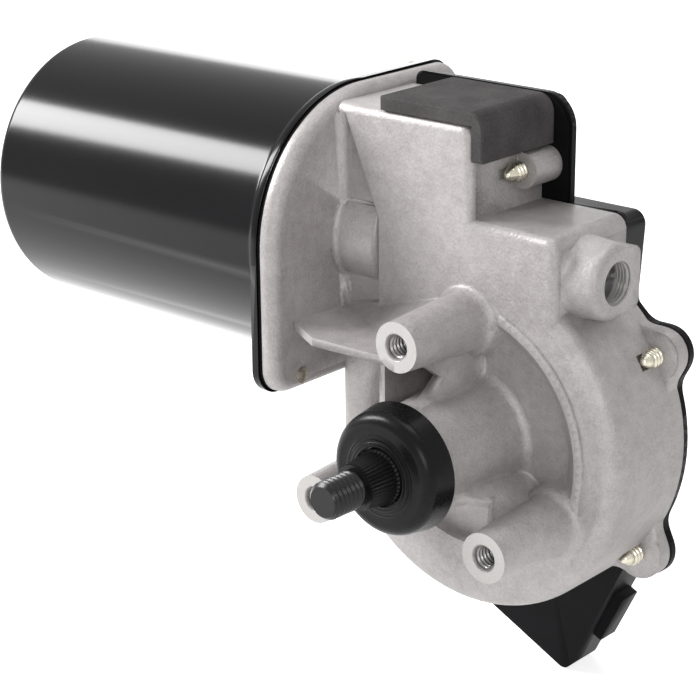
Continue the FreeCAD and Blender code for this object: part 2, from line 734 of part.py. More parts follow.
def dish_and_valley():
    """The dish round the tower, narrower at the bottom, and the sunk strip by the plate."""
    start = "front_face - ridge_rise"
    floor = rod("dish_floor_cut", "y", "dish_floor_radius", start, "dish_floor")
    wall = cone("dish_wall_cut", "y", "dish_radius", "dish_floor_radius", "front_face", "dish_floor")
    bind(wall, Angle="360 - dish_fill")
    # A partial cone starts at the local X axis and grows towards local Y, which is -Z here.
    turn = FreeCAD.Rotation(FreeCAD.Vector(0, 1, 0), 90 + value("dish_fill") / 2)
    wall.Placement.Rotation = turn.multiply(ALONG["y"])
    place(wall, "0", "front_face", "0")
    left = "-box_side + valley_rim"
    valley = prism(
        "valley_cut",
        "y",
        [
            (left, "shelf_low"),
            (left + " + valley_width", "shelf_low"),
            (left + " + valley_width", "valley_knee"),
            (left + " + valley_tip", "box_top - edge_round"),
            (left, "box_top - edge_round"),
        ],
        "front_face - valley_depth",
        "front_face + valley_depth",
    )
    return [floor, wall, valley]


def tower_and_bosses():
    """The tower, its three bosses and the webs between them, all standing in the dish."""
    inside = "dish_floor + floor_wall / 2"
    knee = "tower_seat - tower_rise"
    top = "dish_floor - foot_height"
    pieces = [
        rod("tower_spigot", "y", "tower_tip", "-tower_rise", knee),
        cone("tower_cone", "y", "tower_tip", "tower_base", knee, top),
        cone("tower_flare", "y", "tower_base", "tower_foot", top, "dish_floor"),
        rod("tower_root", "y", "tower_foot", "dish_floor", inside),
    ]
    start = "front_face - foot_height"
    for number, angle in enumerate(BOSS_ANGLES):
        spot = spot_on_circle("boss_circle", angle)
        name = "boss_%d" % number
        pieces.append(cone(name, "y", "boss_tip", "boss_base", "0", start, spot))
        pieces.append(cone(name + "_flare", "y", "boss_base", "boss_foot", start, "front_face", spot))
        pieces.append(rod(name + "_root", "y", "boss_foot", "front_face", inside, spot))
        web = prism(
            "web_%d" % number,
            "z",
            [
                ("tower_bore + 1", inside),
                ("tower_bore + 1", "web_edge"),
                ("tower_tip", "web_edge"),
                ("(tower_tip + boss_circle - boss_tip) / 2", "web_dip"),
                ("boss_circle - boss_tip", "web_edge"),
                ("boss_circle", "web_edge"),
                ("boss_circle", inside),
            ],
            "0",
            "web_thick",
        )
        lift = "web_thick / 2"
        web.Placement.Rotation = FreeCAD.Rotation(FreeCAD.Vector(0, 1, 0), -angle)
        place(web, "%s * sin(%s)" % (lift, angle), "0", "-%s * cos(%s)" % (lift, angle))
        pieces.append(web)
    return pieces


def case_ribs():
    """Shelf web, gusset, upright rib, raised rim, bearing bump, thrust boss and ears."""
    inside = "front_face + dish_depth / 2"
    shelf = prism(
        "shelf",
        "z",
        [
            ("-box_side", "shelf_side"),
            ("-shelf_corner", "shelf_front - shelf_bow"),
            ("-rib_thick", "shelf_front"),
            ("-rib_thick", inside),
            ("-box_side", inside),
        ],
        "shelf_low",
        "shelf_top",
    )
    gusset = gusset_wedge(inside)
    half = "rib_thick / 2"
    rib = block(
        "upright_rib",
        ("-rib_place - " + half, "-rib_place + " + half),
        ("rib_front", "dish_floor + floor_wall / 2"),
        ("-rib_foot", "shelf_low + shelf_thick / 2"),
    )
    rim = cone("rim_disc", "y", "dish_radius + ridge_width", "dish_radius + ridge_width",
               "front_face - ridge_rise", inside)
    bind(rim, Angle="ridge_sweep")
    # The sweep of the raised rim runs from just below the right side up past two o'clock.
    turn = FreeCAD.Rotation(FreeCAD.Vector(0, 1, 0), -value("ridge_turn"))
    rim.Placement.Rotation = turn.multiply(ALONG["y"])
    hollow = rod("rim_hollow", "y", "dish_radius", "front_face - 2 * ridge_rise", "joint_face")
    ridge = less("raised_rim", rim, [hollow])
    bump_end = "-box_side + bump_length"
    sunk = "-box_side - flange_thick / 2"
    bump = rod("bearing_bump", "x", "bump_radius", sunk, bump_end, MOTOR_AXIS)
    collar_end = "-box_side + valley_rim"
    collar = rod("bearing_collar", "x", "bump_radius + collar_rise", sunk, collar_end, MOTOR_AXIS)
    boss = turned(
        "thrust_boss",
        "x",
        [
            ("tunnel_end", "0"),
            ("tunnel_end", "thrust_root"),
            ("step_right", "thrust_root"),
            ("thrust_face", "thrust_tip"),
            ("thrust_face", "0"),
        ],
        MOTOR_AXIS,
    )
    soften(boss, "thrust_round", ring_edges("x", ("thrust_face", "thrust_tip")))
    back_of_boss = prism(
        "thrust_boss_back",
        "x",
        [
            ("motor_y", "motor_z - thrust_block"),
            ("motor_y + thrust_back", "motor_z - thrust_block"),
            ("motor_y + thrust_back", "motor_z + thrust_block"),
            ("motor_y", "motor_z + thrust_block"),
        ],
        "tunnel_end",
        "thrust_face",
    )
    corners = [("motor_y + thrust_back", "motor_z %s thrust_block" % sign) for sign in "+-"]
    soften(back_of_boss, "thrust_round", corner_edges("x", *corners))
    ears = [
        rod("ear_%d" % number, "y", radius, "joint_face - ear_height", "joint_face", (x, z))
        for number, (x, z, radius) in enumerate(EARS)
    ]
    return [shelf, gusset, rib, ridge, bump, collar, boss, back_of_boss] + ears


def gusset_wedge(inside):
    """A web with one sloping face that rises from the shelf between front plane and upper boss."""
    body = doc.addObject("PartDesign::Body", "gusset")
    low = "shelf_low + shelf_thick / 2"
    root = outline(body, "XZ_Plane", [("-gusset_side", low), ("0", low), ("0", "gusset_top")])
    point = [("-gusset_point", low), ("0", low), ("0", low + " + gusset_point")]
    front = outline(body, "XZ_Plane", point)
    front.setExpression("AttachmentOffset.Base.z", formula("(%s) - gusset_front" % inside))
    loft = body.newObject("PartDesign::AdditiveLoft", "gusset_loft")
    loft.Profile = root
    loft.Sections = [front]
    loft.Ruled = True
    body.Tip = loft
    return place(body, "0", inside, "0")


def case_rooms():
    """What is hollow in the case: wheel room, worm tunnel, upper room, bores and holes."""
    past = "joint_face + past"
    ring_inner = "dish_floor_radius + floor_wall"
    rooms = [
        rod("wheel_room", "y", "cavity_radius", "cavity_floor", past),
        rod("worm_tunnel", "x", "tunnel_radius", "-box_side + front_bearing_length", "tunnel_end", MOTOR_AXIS),
        rod("front_bearing_seat", "x", "front_bearing_radius", "plate_back - past",
            "-box_side + front_bearing_length", MOTOR_AXIS),
        rod("end_bush_seat", "x", "end_bush_radius", "tunnel_end - past", "button_start", MOTOR_AXIS),
        rod("adjuster_bore", "x", "adjuster_radius", "tunnel_end", "thrust_face + past", MOTOR_AXIS),
        rod("tower_bore_cut", "y", "tower_bore", "-2 * tower_rise", past),
    ]
    ring_front = "front_face + ring_wall"
    ring = tube("ring_room", "y", "cavity_radius", ring_inner, ring_front, "cavity_floor + past")
    rooms.append(ring)
    room = prism(
        "upper_room",
        "y",
        [
            ("-room_left", "room_bottom"),
            ("-room_right", "room_bottom"),
            ("-room_right", "room_top"),
            ("-room_left", "room_top"),
        ],
        "front_face + box_floor",
        past,
    )
    corners = [(side, level) for side in ("-room_left", "-room_right") for level in ("room_bottom", "room_top")]
    rooms.append(soften(room, "edge_round", corner_edges("y", *corners)))
    lead_slot = block(
        "lead_slot",
        ("plate_back - past", "-room_left + past"),
        ("lead_slot_low", past),
        ("lead_height - lead_width", "lead_height + lead_width"),
    )
    rooms.append(lead_slot)
    for number, angle in enumerate(BOSS_ANGLES):
        spot = spot_on_circle("boss_circle", angle)
        name = "mount_hole_%d" % number
        depth = "mount_depth + %d * mount_step" % (len(BOSS_ANGLES) - 1 - number)
        rooms.append(rod(name, "y", "mount_hole", "-past", depth, spot))
        rooms.append(cone(name + "_mouth", "y", "mount_mouth", "mount_hole", "0", "mount_chamfer", spot))
    screw_end = "cover_flange_back - screw_length - moving_gap"
    rooms += screw_holes_in_ears("ear_hole", screw_end, past)
    rooms += screw_holes_in_flange("plate_hole", "plate_back - past", "-box_side + past")
    return rooms


def gear_housing():
    """The cast gear case in one piece."""
    shell = joined("case_shell", case_shell())
    opened = less("case_opened", shell, dish_and_valley())
    full = joined("case_full", [opened] + tower_and_bosses() + case_ribs())
    node(less("case", full, case_rooms()), "gear_housing")


def motor_can():
    """The drawn steel can with its flange, closed end and bearing cup."""
    shell = turned(
        "can_shell",
        "x",
        [
            ("can_gasket_back", "can_inner"),
            ("can_gasket_back", "flange_radius"),
            ("can_flange_back", "flange_radius"),
            ("can_flange_back", "can_radius"),
            ("can_end", "can_radius"),
            ("can_end", "cup_radius"),
            ("cup_end", "cup_radius"),
            ("cup_end", "0"),
            ("cup_end + can_sheet", "0"),
            ("cup_end + can_sheet", "cup_radius - can_sheet"),
            ("can_end + can_sheet", "cup_radius - can_sheet"),
            ("can_end + can_sheet", "can_inner"),
        ],
        MOTOR_AXIS,
    )
    soften(shell, "can_round + can_sheet", ring_edges("x", ("can_end", "can_radius")))
    soften(shell, "can_round", ring_edges("x", ("can_end + can_sheet", "can_inner")))
    soften(shell, "cup_round", ring_edges("x", ("cup_end", "cup_radius"), ("can_end", "cup_radius")))
    sheets = flange_outline("can_flange", "can_flange_back", "can_gasket_back", "flange_lip")
    past = "can_gasket_back + can_sheet"
    opening = rod("can_opening", "x", "can_inner", "can_flange_back - can_sheet", past, MOTOR_AXIS)
    holes = screw_holes_in_flange("can_hole", "can_flange_back - can_sheet", past)
    ring = less("can_flange_ring", joined("can_flange", sheets), [opening] + holes)
    node(joined("can", [shell, ring]), "motor_can")


def can_gasket():
    sheets = flange_outline("gasket", "can_gasket_back", "plate_back", "0")
    past = "plate_back + can_gasket_thick"
    inner = "flange_radius - gasket_width"
    opening = rod("gasket_opening", "x", inner, "can_flange_back", past, MOTOR_AXIS)
    holes = screw_holes_in_flange("gasket_hole", "can_flange_back", past)
    node(less("can_gasket", joined("gasket_sheet", sheets), [opening] + holes), "can_gasket")


def sector(label, axis_start, axis_end, inner, outer, span, middle):
    """A piece of a tube about the motor axis, over an angle about its middle direction."""
    full = doc.addObject("Part::Cylinder", label + "_full")
    bind(full, Radius=outer, Height="(%s) - (%s)" % (axis_end, axis_start), Angle=span)
    # The sector starts at the local X axis, which this turn leaves pointing down.
    turn = FreeCAD.Rotation(FreeCAD.Vector(1, 0, 0), 90 + middle - value(span) / 2)
    full.Placement.Rotation = turn.multiply(ALONG["x"])
    place(full, axis_start, *MOTOR_AXIS)
    core = rod(label + "_core", "x", inner, axis_start + " - 1", axis_end + " + 1", MOTOR_AXIS)
    return less(label, full, [core])


def magnets():
    """Two magnets inside the can, and the two clips between their edges."""
    outer = "can_inner - press_gap"
    for label, middle in (("magnet_front", 180), ("magnet_back", 0)):
        node(sector(label, "magnet_left", "magnet_right", "magnet_inner", outer, "magnet_span", middle), label)
    clip_span = "180 - magnet_span - 2"
    clips = []
    for number, middle in enumerate((90, -90)):
        name = "clip_%d" % number
        inner = "can_inner - press_gap - clip_thick"
        ends = ("magnet_left + clip_thick", "magnet_right - clip_thick")
        clips.append(sector(name, *ends, inner, outer, clip_span, middle))
    node(group("clips", clips), "magnet_clips")


def rear_bearing():
    """A barrel bearing in the can's cup, and the spring disc that holds it."""
    left = "cup_end + can_sheet + moving_gap"
    third = "rear_bearing_width / 3"
    barrel = turned(
        "bearing",
        "x",
        [
            (left, "rod_bore"),
            (left, "rear_bearing_radius - barrel_drop"),
            (left + " + " + third, "rear_bearing_radius"),
            (left + " + 2 * " + third, "rear_bearing_radius"),
            (left + " + 3 * " + third, "rear_bearing_radius - barrel_drop"),
            (left + " + 3 * " + third, "rod_bore"),
        ],
        MOTOR_AXIS,
    )
    node(barrel, "rear_bearing")
    face = "can_end + can_sheet"
    lip = "rear_bearing_radius + press_gap"
    node(tube("retainer", "x", "retainer_radius", lip, face, face + " + retainer_thick", MOTOR_AXIS),
         "rear_bearing_retainer")


def case_bearings():
    """The pressed bushes of both shafts, the thrust button and the adjusting screw."""
    seat_end = "-box_side + front_bearing_length"
    node(tube("front_bearing", "x", "front_bearing_radius - press_gap", "rod_bore",
              seat_end + " - front_bearing_length", seat_end, MOTOR_AXIS), "front_bearing")
    bush_start = "tunnel_end + moving_gap"
    node(tube("end_bush", "x", "end_bush_radius - press_gap", "rod_bore", bush_start,
              bush_start + " + end_bush_length", MOTOR_AXIS), "end_bush")
    button = turned(
        "thrust_button",
        "x",
        [
            ("button_start", "0"),
            ("button_start", "adjuster_radius - press_gap"),
            ("adjuster_start", "adjuster_radius - press_gap"),
            ("adjuster_start", "0"),
        ],
        MOTOR_AXIS,
    )
    node(button, "thrust_button")
    end = "adjuster_start + adjuster_length"
    screw = rod("adjuster", "x", "adjuster_radius - screw_gap", "adjuster_start", end, MOTOR_AXIS)
    reach = "adjuster_radius"
    slot = block(
        "adjuster_slot",
        (end + " - slot_depth", end + " + 1"),
        ("motor_y - " + reach, "motor_y + " + reach),
        ("motor_z - slot_width / 2", "motor_z + slot_width / 2"),
    )
    node(less("adjusting_screw", screw, [slot]), "adjusting_screw")
    for label, start, length in (
        ("output_bush_front", "front_bush_start", "front_bush_length"),
        ("output_bush_rear", "rear_bush_start", "rear_bush_length"),
    ):
        node(tube(label, "y", "bush_radius", "bush_bore", start, start + " + " + length), label)


def thread_path(body, start):
    """The worm's thread: one straight-sided ridge wound round the shaft to the right."""
    half = "(thread_pitch / 4 - flank_gap)"
    sunk = "worm_root - sunk"
    foot = "%s + tan(pressure_angle) * (worm_pitch - (%s))" % (half, sunk)
    crest = "%s - tan(pressure_angle) * tooth_rise" % half
    if value(crest) <= 0:
        raise ValueError("the worm's thread comes to a point")
    sketch = outline(
        body,
        "XY_Plane",
        [
            ("%s - (%s)" % (start, foot), sunk),
            ("%s + (%s)" % (start, foot), sunk),
            ("%s + (%s)" % (start, crest), "worm_tip"),
            ("%s - (%s)" % (start, crest), "worm_tip"),
        ],
    )
    return sketch


def armature():
    """Shaft with the worm cut on it, laminations, windings and commutator."""
    worm_half = "(worm_turns / 2 + 0.25) * thread_pitch"
    shaft = turned(
        "shaft",
        "x",
        [
            ("rod_left", "0"),
            ("rod_left", "rod_radius"),
            ("-(%s) - worm_root" % worm_half, "rod_radius"),
            ("-(%s)" % worm_half, "worm_root"),
            (worm_half, "worm_root"),
            ("(%s) + worm_root" % worm_half, "rod_radius"),
            ("rod_right - thread_chamfer", "rod_radius"),
            ("rod_right", "rod_radius - thread_chamfer"),
            ("rod_right", "0"),
        ],
        MOTOR_AXIS,
    )
    # The ridge starts at the back of the shaft a quarter turn past the middle of a gap, so that
    # at rest a gap of the worm stands over the wheel's top tooth.
    start = "-(floor(worm_turns / 2) + 0.25) * thread_pitch"
    thread = shaft.newObject("PartDesign::AdditiveHelix", "worm_thread")
    ridge = thread_path(shaft, start)
    thread.Profile = ridge
    thread.ReferenceAxis = (ridge, ["H_Axis"])
    thread.Mode = 0
    bind(thread, Pitch="thread_pitch", Height="worm_turns * thread_pitch")
    shaft.Tip = thread
    node(shaft, "armature_shaft")
    bore = "rod_radius + press_gap"
    stack = doc.addObject("PartDesign::Body", "stack")
    ring = stack.newObject("Sketcher::SketchObject", "stack_ring")
    face = next(item for item in stack.Origin.OriginFeatures if item.Role == "YZ_Plane")
    ring.AttachmentSupport = [(face, "")]
    ring.MapMode = "FlatFace"
    for number, radius in enumerate(("stack_radius", bore)):
        ring.addGeometry(Part.Circle(FreeCAD.Vector(), FreeCAD.Vector(0, 0, 1), value(radius)), False)
        ring.addConstraint(Sketcher.Constraint("Coincident", number, 3, -1, 1))
        rule = ring.addConstraint(Sketcher.Constraint("Radius", number, value(radius)))
        ring.setExpression("Constraints[%d]" % rule, formula(radius))
    pad = stack.newObject("PartDesign::Pad", "stack_pad")
    pad.Profile = ring
    bind(pad, Length="stack_length")
    half = "slot_span / 2"
    mouth = "slot_mouth / 2"
    lip = "stack_radius - tooth_lip"
    slot = outline(
        stack,
        "YZ_Plane",
        [
            ("slot_foot", "-" + half),
            (lip, "-%s - slot_flare" % half),
            (lip, "-" + mouth),
            ("stack_radius + past", "-" + mouth),
            ("stack_radius + past", mouth),
            (lip, mouth),
            (lip, "%s + slot_flare" % half),
            ("slot_foot", half),
        ],
    )
    pocket = stack.newObject("PartDesign::Pocket", "stack_slot")
    pocket.Profile = slot
    pocket.Type = "ThroughAll"
    pocket.Midplane = True
    doc.recompute()
    pattern = stack.newObject("PartDesign::PolarPattern", "stack_slots")
    pattern.Originals = [pocket]
    pattern.Axis = (slot, ["N_Axis"])
    pattern.Angle = 360
    bind(pattern, Occurrences="slot_count")
    stack.Tip = pattern
    place(stack, "stack_left", *MOTOR_AXIS)
    node(stack, "lamination_stack")
    rings = []
    gap = "winding_gap"
    for name, start, end in (
        ("left", "stack_left - %s - winding_rise" % gap, "stack_left - " + gap),
        ("right", "stack_right + " + gap, "stack_right + winding_rise"),
    ):
        far, near, way = (start, end, "+") if name == "left" else (end, start, "-")
        ends = turned(
            "winding_" + name,
            "x",
            [
                (far, bore),
                (near, bore),
                (near, "winding_radius"),
                ("(%s) %s winding_rise / 2" % (far, way), "winding_radius"),
                (far, "winding_radius - winding_rise / 2"),
            ],
            MOTOR_AXIS,
        )
        rings.append(ends)
    count = int(value("slot_count"))
    for number in range(count):
        bar = prism(
            "bar_%d" % number,
            "x",
            [
                ("slot_foot + " + gap, "-%s + %s" % (half, gap)),
                (lip + " - " + gap, "-%s - slot_flare + 2 * %s" % (half, gap)),
                (lip + " - " + gap, "%s + slot_flare - 2 * %s" % (half, gap)),
                ("slot_foot + " + gap, "%s - %s" % (half, gap)),
            ],
            "0",
            "stack_length + 2 * " + gap,
        )
        bar.Placement.Rotation = FreeCAD.Rotation(FreeCAD.Vector(1, 0, 0), 360.0 * number / count)
        place(bar, "stack_left - " + gap, *MOTOR_AXIS)
        rings.append(bar)
    node(joined("windings", rings), "armature_windings")
    core = turned(
        "commutator_core",
        "x",
        [
            ("commutator_left", bore),
            ("commutator_left", "riser_radius"),
            ("commutator_left + riser_length", "riser_radius"),
            ("commutator_left + riser_length", "commutator_radius"),
            ("commutator_right", "commutator_radius"),
            ("commutator_right", bore),
        ],
        MOTOR_AXIS,
    )
    slits = []
    for number in range(count // 2):
        slit = doc.addObject("Part::Box", "slit_%d" % number)
        bind(slit, Length="commutator_length + 2", Width="bar_gap", Height="2 * riser_radius + 2")
        slit.Placement.Rotation = FreeCAD.Rotation(FreeCAD.Vector(1, 0, 0), 360.0 * number / count)
        angle = "%s" % (360.0 * number / count)
        reach = "(riser_radius + 1)"
        place(
            slit,
            "commutator_left - 1",
            "motor_y - bar_gap / 2 * cos(%s) + %s * sin(%s)" % (angle, reach, angle),
            "motor_z - bar_gap / 2 * sin(%s) - %s * cos(%s)" % (angle, reach, angle),
        )
        slits.append(slit)
    keep = tube("slit_keep", "x", "riser_radius + 2", "commutator_radius - 1", "commutator_left - 2",
                "commutator_right + 2", MOTOR_AXIS)
    cuts = shared("slits", joined("slit_fan", slits), keep)
    node(less("commutator", core, [cuts]), "commutator")


BRUSH_ANGLES = (90, 210, 330)


def round_the_motor(item, axial, radial, side, lift, angle):
    """Stand a box at an axial place, its inner end at a radius, turned about the motor axis."""
    item.Placement.Rotation = FreeCAD.Rotation(FreeCAD.Vector(1, 0, 0), angle)
    y = "motor_y + (%s) * cos(%s) - (%s) * sin(%s)" % (radial, angle, side, angle)
    z = "motor_z + (%s) * sin(%s) + (%s) * cos(%s)" % (radial, angle, side, angle)
    return place(item, "(%s) + (%s)" % (axial, lift), y, z)


def brush_gear():
    """Brush plate on its posts, with holders, brushes, springs, chokes and a thermal breaker."""
    plate = tube("plate_disc", "x", "brush_plate_radius", "brush_plate_hole", "brush_plate_left",
                 "brush_plate_right", MOTOR_AXIS)
    posts = []
    for number, angle in enumerate((30, 150, 270)):
        first, second = spot_on_circle("brush_plate_radius - 4", angle)
        spot = ("motor_y + " + first, "motor_z + " + second)
        posts.append(rod("brush_post_%d" % number, "x", "brush_post_radius", "brush_plate_left", "plate_back", spot))
    node(joined("brush_plate", [plate] + posts), "brush_plate")
    holders = []
    for number, angle in enumerate(BRUSH_ANGLES):
        length = "holder_reach - brush_plate_hole - holder_inset"
        side = "(brush_wide / 2 + press_gap + holder_wall)"
        tall = "(brush_long / 2 + press_gap + holder_wall)"
        inner_side = "(brush_wide / 2 + press_gap)"
        inner_tall = "(brush_long / 2 + press_gap)"
        shells = []
        for name, half, rise, start, reach in (
            ("outer", side, tall, "brush_plate_hole + holder_inset", length),
            ("inner", inner_side, inner_tall, "brush_plate_hole - holder_inset", length + " + sunk"),
        ):
            box = doc.addObject("Part::Box", "holder_%d_%s" % (number, name))
            bind(box, Length="2 * " + rise, Width=reach, Height="2 * " + half)
            shells.append(round_the_motor(box, "brush_middle", start, "-" + half, "-" + rise, angle))
        holders.append(less("holder_%d" % number, shells[0], [shells[1]]))
        brush = doc.addObject("Part::Box", "brush_%d" % number)
        bind(brush, Length="brush_long", Width="brush_length", Height="brush_wide")
        round_the_motor(brush, "brush_middle", "brush_tip", "-brush_wide / 2", "-brush_long / 2", angle)
        node(brush, ("brush_common", "brush_low_speed", "brush_high_speed")[number])
    node(group("holders", holders), "brush_holders")
    springs = []
    for number, angle in enumerate(BRUSH_ANGLES):
        start = "brush_tip + brush_length + press_gap"
        room = "(holder_reach - holder_cap - brush_tip - brush_length - 2 * press_gap)"
        spring = rod("spring_%d" % number, "y", "spring_radius", "0", room)
        spring.Placement.Rotation = FreeCAD.Rotation(FreeCAD.Vector(1, 0, 0), angle).multiply(ALONG["y"])
        y = "motor_y + (%s) * cos(%s)" % (start, angle)
        z = "motor_z + (%s) * sin(%s)" % (start, angle)
        place(spring, "brush_middle", y, z)
        springs.append(spring)
    node(group("springs", springs), "brush_springs")
    chokes = []
    for number, angle in enumerate((140, 285)):
        radius = "(brush_plate_hole + choke_radius + choke_inset)"
        y = "motor_y + %s * cos(%s)" % (radius, angle)
        z = "motor_z + %s * sin(%s)" % (radius, angle)
        end = "brush_plate_left - press_gap"
        chokes.append(rod("choke_%d" % number, "x", "choke_radius", end + " - choke_length", end, (y, z)))
    node(group("chokes", chokes), "suppression_chokes")
    breaker = doc.addObject("Part::Box", "breaker")
    bind(breaker, Length="2 * choke_radius", Width="choke_length / 1.5", Height="choke_length")
    lift = "-2 * choke_radius - press_gap"
    round_the_motor(breaker, "brush_plate_left", "brush_plate_hole + 3", "-choke_length / 2", lift, 30)
    node(breaker, "thermal_breaker")


def motor_leads():
    """Three flat leads from the brush plate through the case to the circuit board."""
    leads = []
    low = "lead_height - lead_width / 2"
    high = "lead_height + lead_width / 2"
    for number in range(3):
        level = "(lead_slot_low + 3 + %d * lead_step)" % number
        turn = "(-room_left + 4 + (2 - %d) * 2 * lead_width)" % number
        flat = block("lead_%d_flat" % number, ("brush_plate_right", turn + " + lead_thick"),
                     (level, level + " + lead_thick"), (low, high))
        rise = block("lead_%d_rise" % number, (turn, turn + " + lead_thick"), (level, "board_front"),
                     (low, high))
        leads.append(joined("lead_%d" % number, [flat, rise]))
    node(group("leads", leads), "motor_leads")


def wheel_teeth():
    """The toothed ring: one involute tooth shape, twisted along the face by the worm's lead."""
    count = int(value("tooth_count"))
    pitch = value("wheel_pitch")
    tip = value("wheel_tip")
    root = value("wheel_root")
    base = pitch * math.cos(math.radians(value("pressure_angle")))
    half_at_pitch = math.pi / (2 * count) - value("flank_gap") / pitch
    lead = pitch / (count * value("worm_pitch"))

    def opening(radius):
        angle = math.acos(min(1.0, base / radius))
        return math.tan(angle) - angle

    def half_angle(radius):
        return half_at_pitch + opening(pitch) - opening(radius)

    def ring_at(station):
        shift = (station - value("motor_y")) * lead / pitch

        def point(radius, angle):
            return FreeCAD.Vector(radius * math.sin(angle + shift), station, radius * math.cos(angle + shift))

        edges = []
        for number in range(count):
            middle = 2 * math.pi * number / count
            following = 2 * math.pi * (number + 1) / count
            middle_radius = (root + tip) / 2
            flank_up = [point(r, middle - half_angle(r)) for r in (root, middle_radius, tip)]
            flank_down = [point(r, middle + half_angle(r)) for r in (tip, middle_radius, root)]
            edges.append(Part.Arc(*flank_up).toShape())
            edges.append(Part.LineSegment(flank_up[2], flank_down[0]).toShape())
            edges.append(Part.Arc(*flank_down).toShape())
            start = flank_down[2]
            end = point(root, following - half_angle(root))
            edges.append(Part.LineSegment(start, end).toShape())
        return Part.Wire(edges)

    ring = doc.addObject("Part::Feature", "tooth_ring")
    ends = [ring_at(value("wheel_front")), ring_at(value("wheel_back"))]
    ring.Shape = Part.makeLoft(ends, True, True)
    return ring


def output_group():
    """Output shaft, worm wheel with its hub, park disc, washers and retaining ring."""
    tip = "-shaft_reach"
    neck = tip + " + thread_length"
    taper = neck + " + neck_length"
    shoulder = taper + " + taper_length"
    groove = "(ring_front - washer_gap / 2)"
    groove_end = "(ring_front + ring_thick + washer_gap / 2)"
    floor = "shaft_radius - groove_depth"
    shaft = turned(
        "output_rod",
        "y",
        [
            (tip, "0"),
            (tip, "thread_radius - thread_chamfer"),
            (tip + " + thread_chamfer", "thread_radius"),
            (neck, "thread_radius"),
            (neck, "neck_radius"),
            (taper, "neck_radius"),
            (taper, "taper_small"),
            (shoulder, "taper_large"),
            (shoulder + " + shoulder_length", "shaft_radius"),
            (groove, "shaft_radius"),
            (groove, floor),
            (groove_end, floor),
            (groove_end, "shaft_radius"),
            ("hub_front + hub_length", "shaft_radius"),
            ("hub_front + hub_length", "0"),
        ],
    )
    node(shaft, "output_shaft")
    bore = "shaft_radius + press_gap"
    node(tube("hub", "y", "hub_radius", bore, "hub_front", "hub_front + hub_length"), "wheel_hub")
    hub_bore = "hub_radius + press_gap"
    teeth = wheel_teeth()
    inside = rod("rim_inside", "y", "rim_inner", "wheel_front - 1", "web_front")
    core = rod("sleeve_bore", "y", hub_bore, "wheel_front - 1", "wheel_back + 1")
    sleeve = tube("wheel_sleeve", "y", "sleeve_radius", hub_bore, "hub_front", "web_front + 1")
    ribs = []
    count = int(value("wheel_ribs"))
    for number in range(count):
        rib = block("wheel_rib", ("0", "1"), ("wheel_front + web_recess", "web_front + 1"),
                    ("sleeve_radius - 1", "rim_inner + 1"))
        bind(rib, Length="wheel_rib_thick")
        angle = 360.0 * number / count
        rib.Placement.Rotation = FreeCAD.Rotation(FreeCAD.Vector(0, 1, 0), angle)
        low = "(sleeve_radius - 1)"
        half = "wheel_rib_thick / 2"
        place(
            rib,
            "-%s * cos(%s) + %s * sin(%s)" % (half, angle, low, angle),
            "wheel_front + web_recess",
            "%s * sin(%s) + %s * cos(%s)" % (half, angle, low, angle),
        )
        ribs.append(rib)
    rim = less("wheel_rim", teeth, [inside, core])
    node(joined("wheel", [rim, sleeve] + ribs), "worm_wheel")
    disc = tube("disc", "y", "disc_radius", "disc_hole", "wheel_back", "disc_back")
    notch = doc.addObject("Part::Cylinder", "disc_notch_cut")
    bind(notch, Radius="disc_radius + 1", Height="disc_thick + 2", Angle="disc_notch")
    notch.Placement.Rotation = ALONG["y"]
    place(notch, "0", "wheel_back - 1", "0")
    keep = tube("notch_keep", "y", "disc_radius + 2", "(disc_radius + disc_hole) / 2", "wheel_back - 2",
                "disc_back + 2")
    node(less("park", disc, [shared("notch", notch, keep)]), "park_disc")
    ring_start = "ring_front"
    loose = "shaft_radius + ring_play"
    washer_start = "ring_front + ring_thick + washer_gap"
    node(tube("ring", "y", "ring_radius", floor + " + screw_gap", ring_start, ring_start + " + ring_thick"),
         "retaining_ring")
    node(tube("washer", "y", "front_washer_radius", loose, washer_start, washer_start + " + washer_thick"),
         "front_washer")
    node(tube("back_washer", "y", "rear_washer_radius", loose, "hub_front - washer_gap - washer_thick",
              "hub_front - washer_gap"), "rear_washer")


def shaft_boot():
    """The rubber boot pressed over the tower, with a lip round the shaft."""
    hole = "shaft_radius + moving_gap"
    pocket_floor = "-boot_reach + boot_wall"
    boot = turned(
        "boot",
        "y",
        [
            ("boot_seat", "tower_tip + press_gap"),
            ("boot_seat", "boot_radius"),
            ("-boot_reach + boot_round", "boot_front_radius"),
            ("-boot_reach", "boot_front_radius"),
            ("-boot_reach", hole + " + lip_width"),
            ("-boot_reach - lip_rise", hole + " + lip_width"),
            ("-boot_reach - lip_rise", hole),
            (pocket_floor, hole),
            (pocket_floor, "boot_pocket"),
            ("-tower_rise", "boot_pocket"),
            ("-tower_rise", "tower_tip + press_gap"),
        ],
    )
    soften(boot, "boot_round - 0.1", ring_edges("y", ("-boot_reach", "boot_front_radius")))
    node(boot, "shaft_boot")


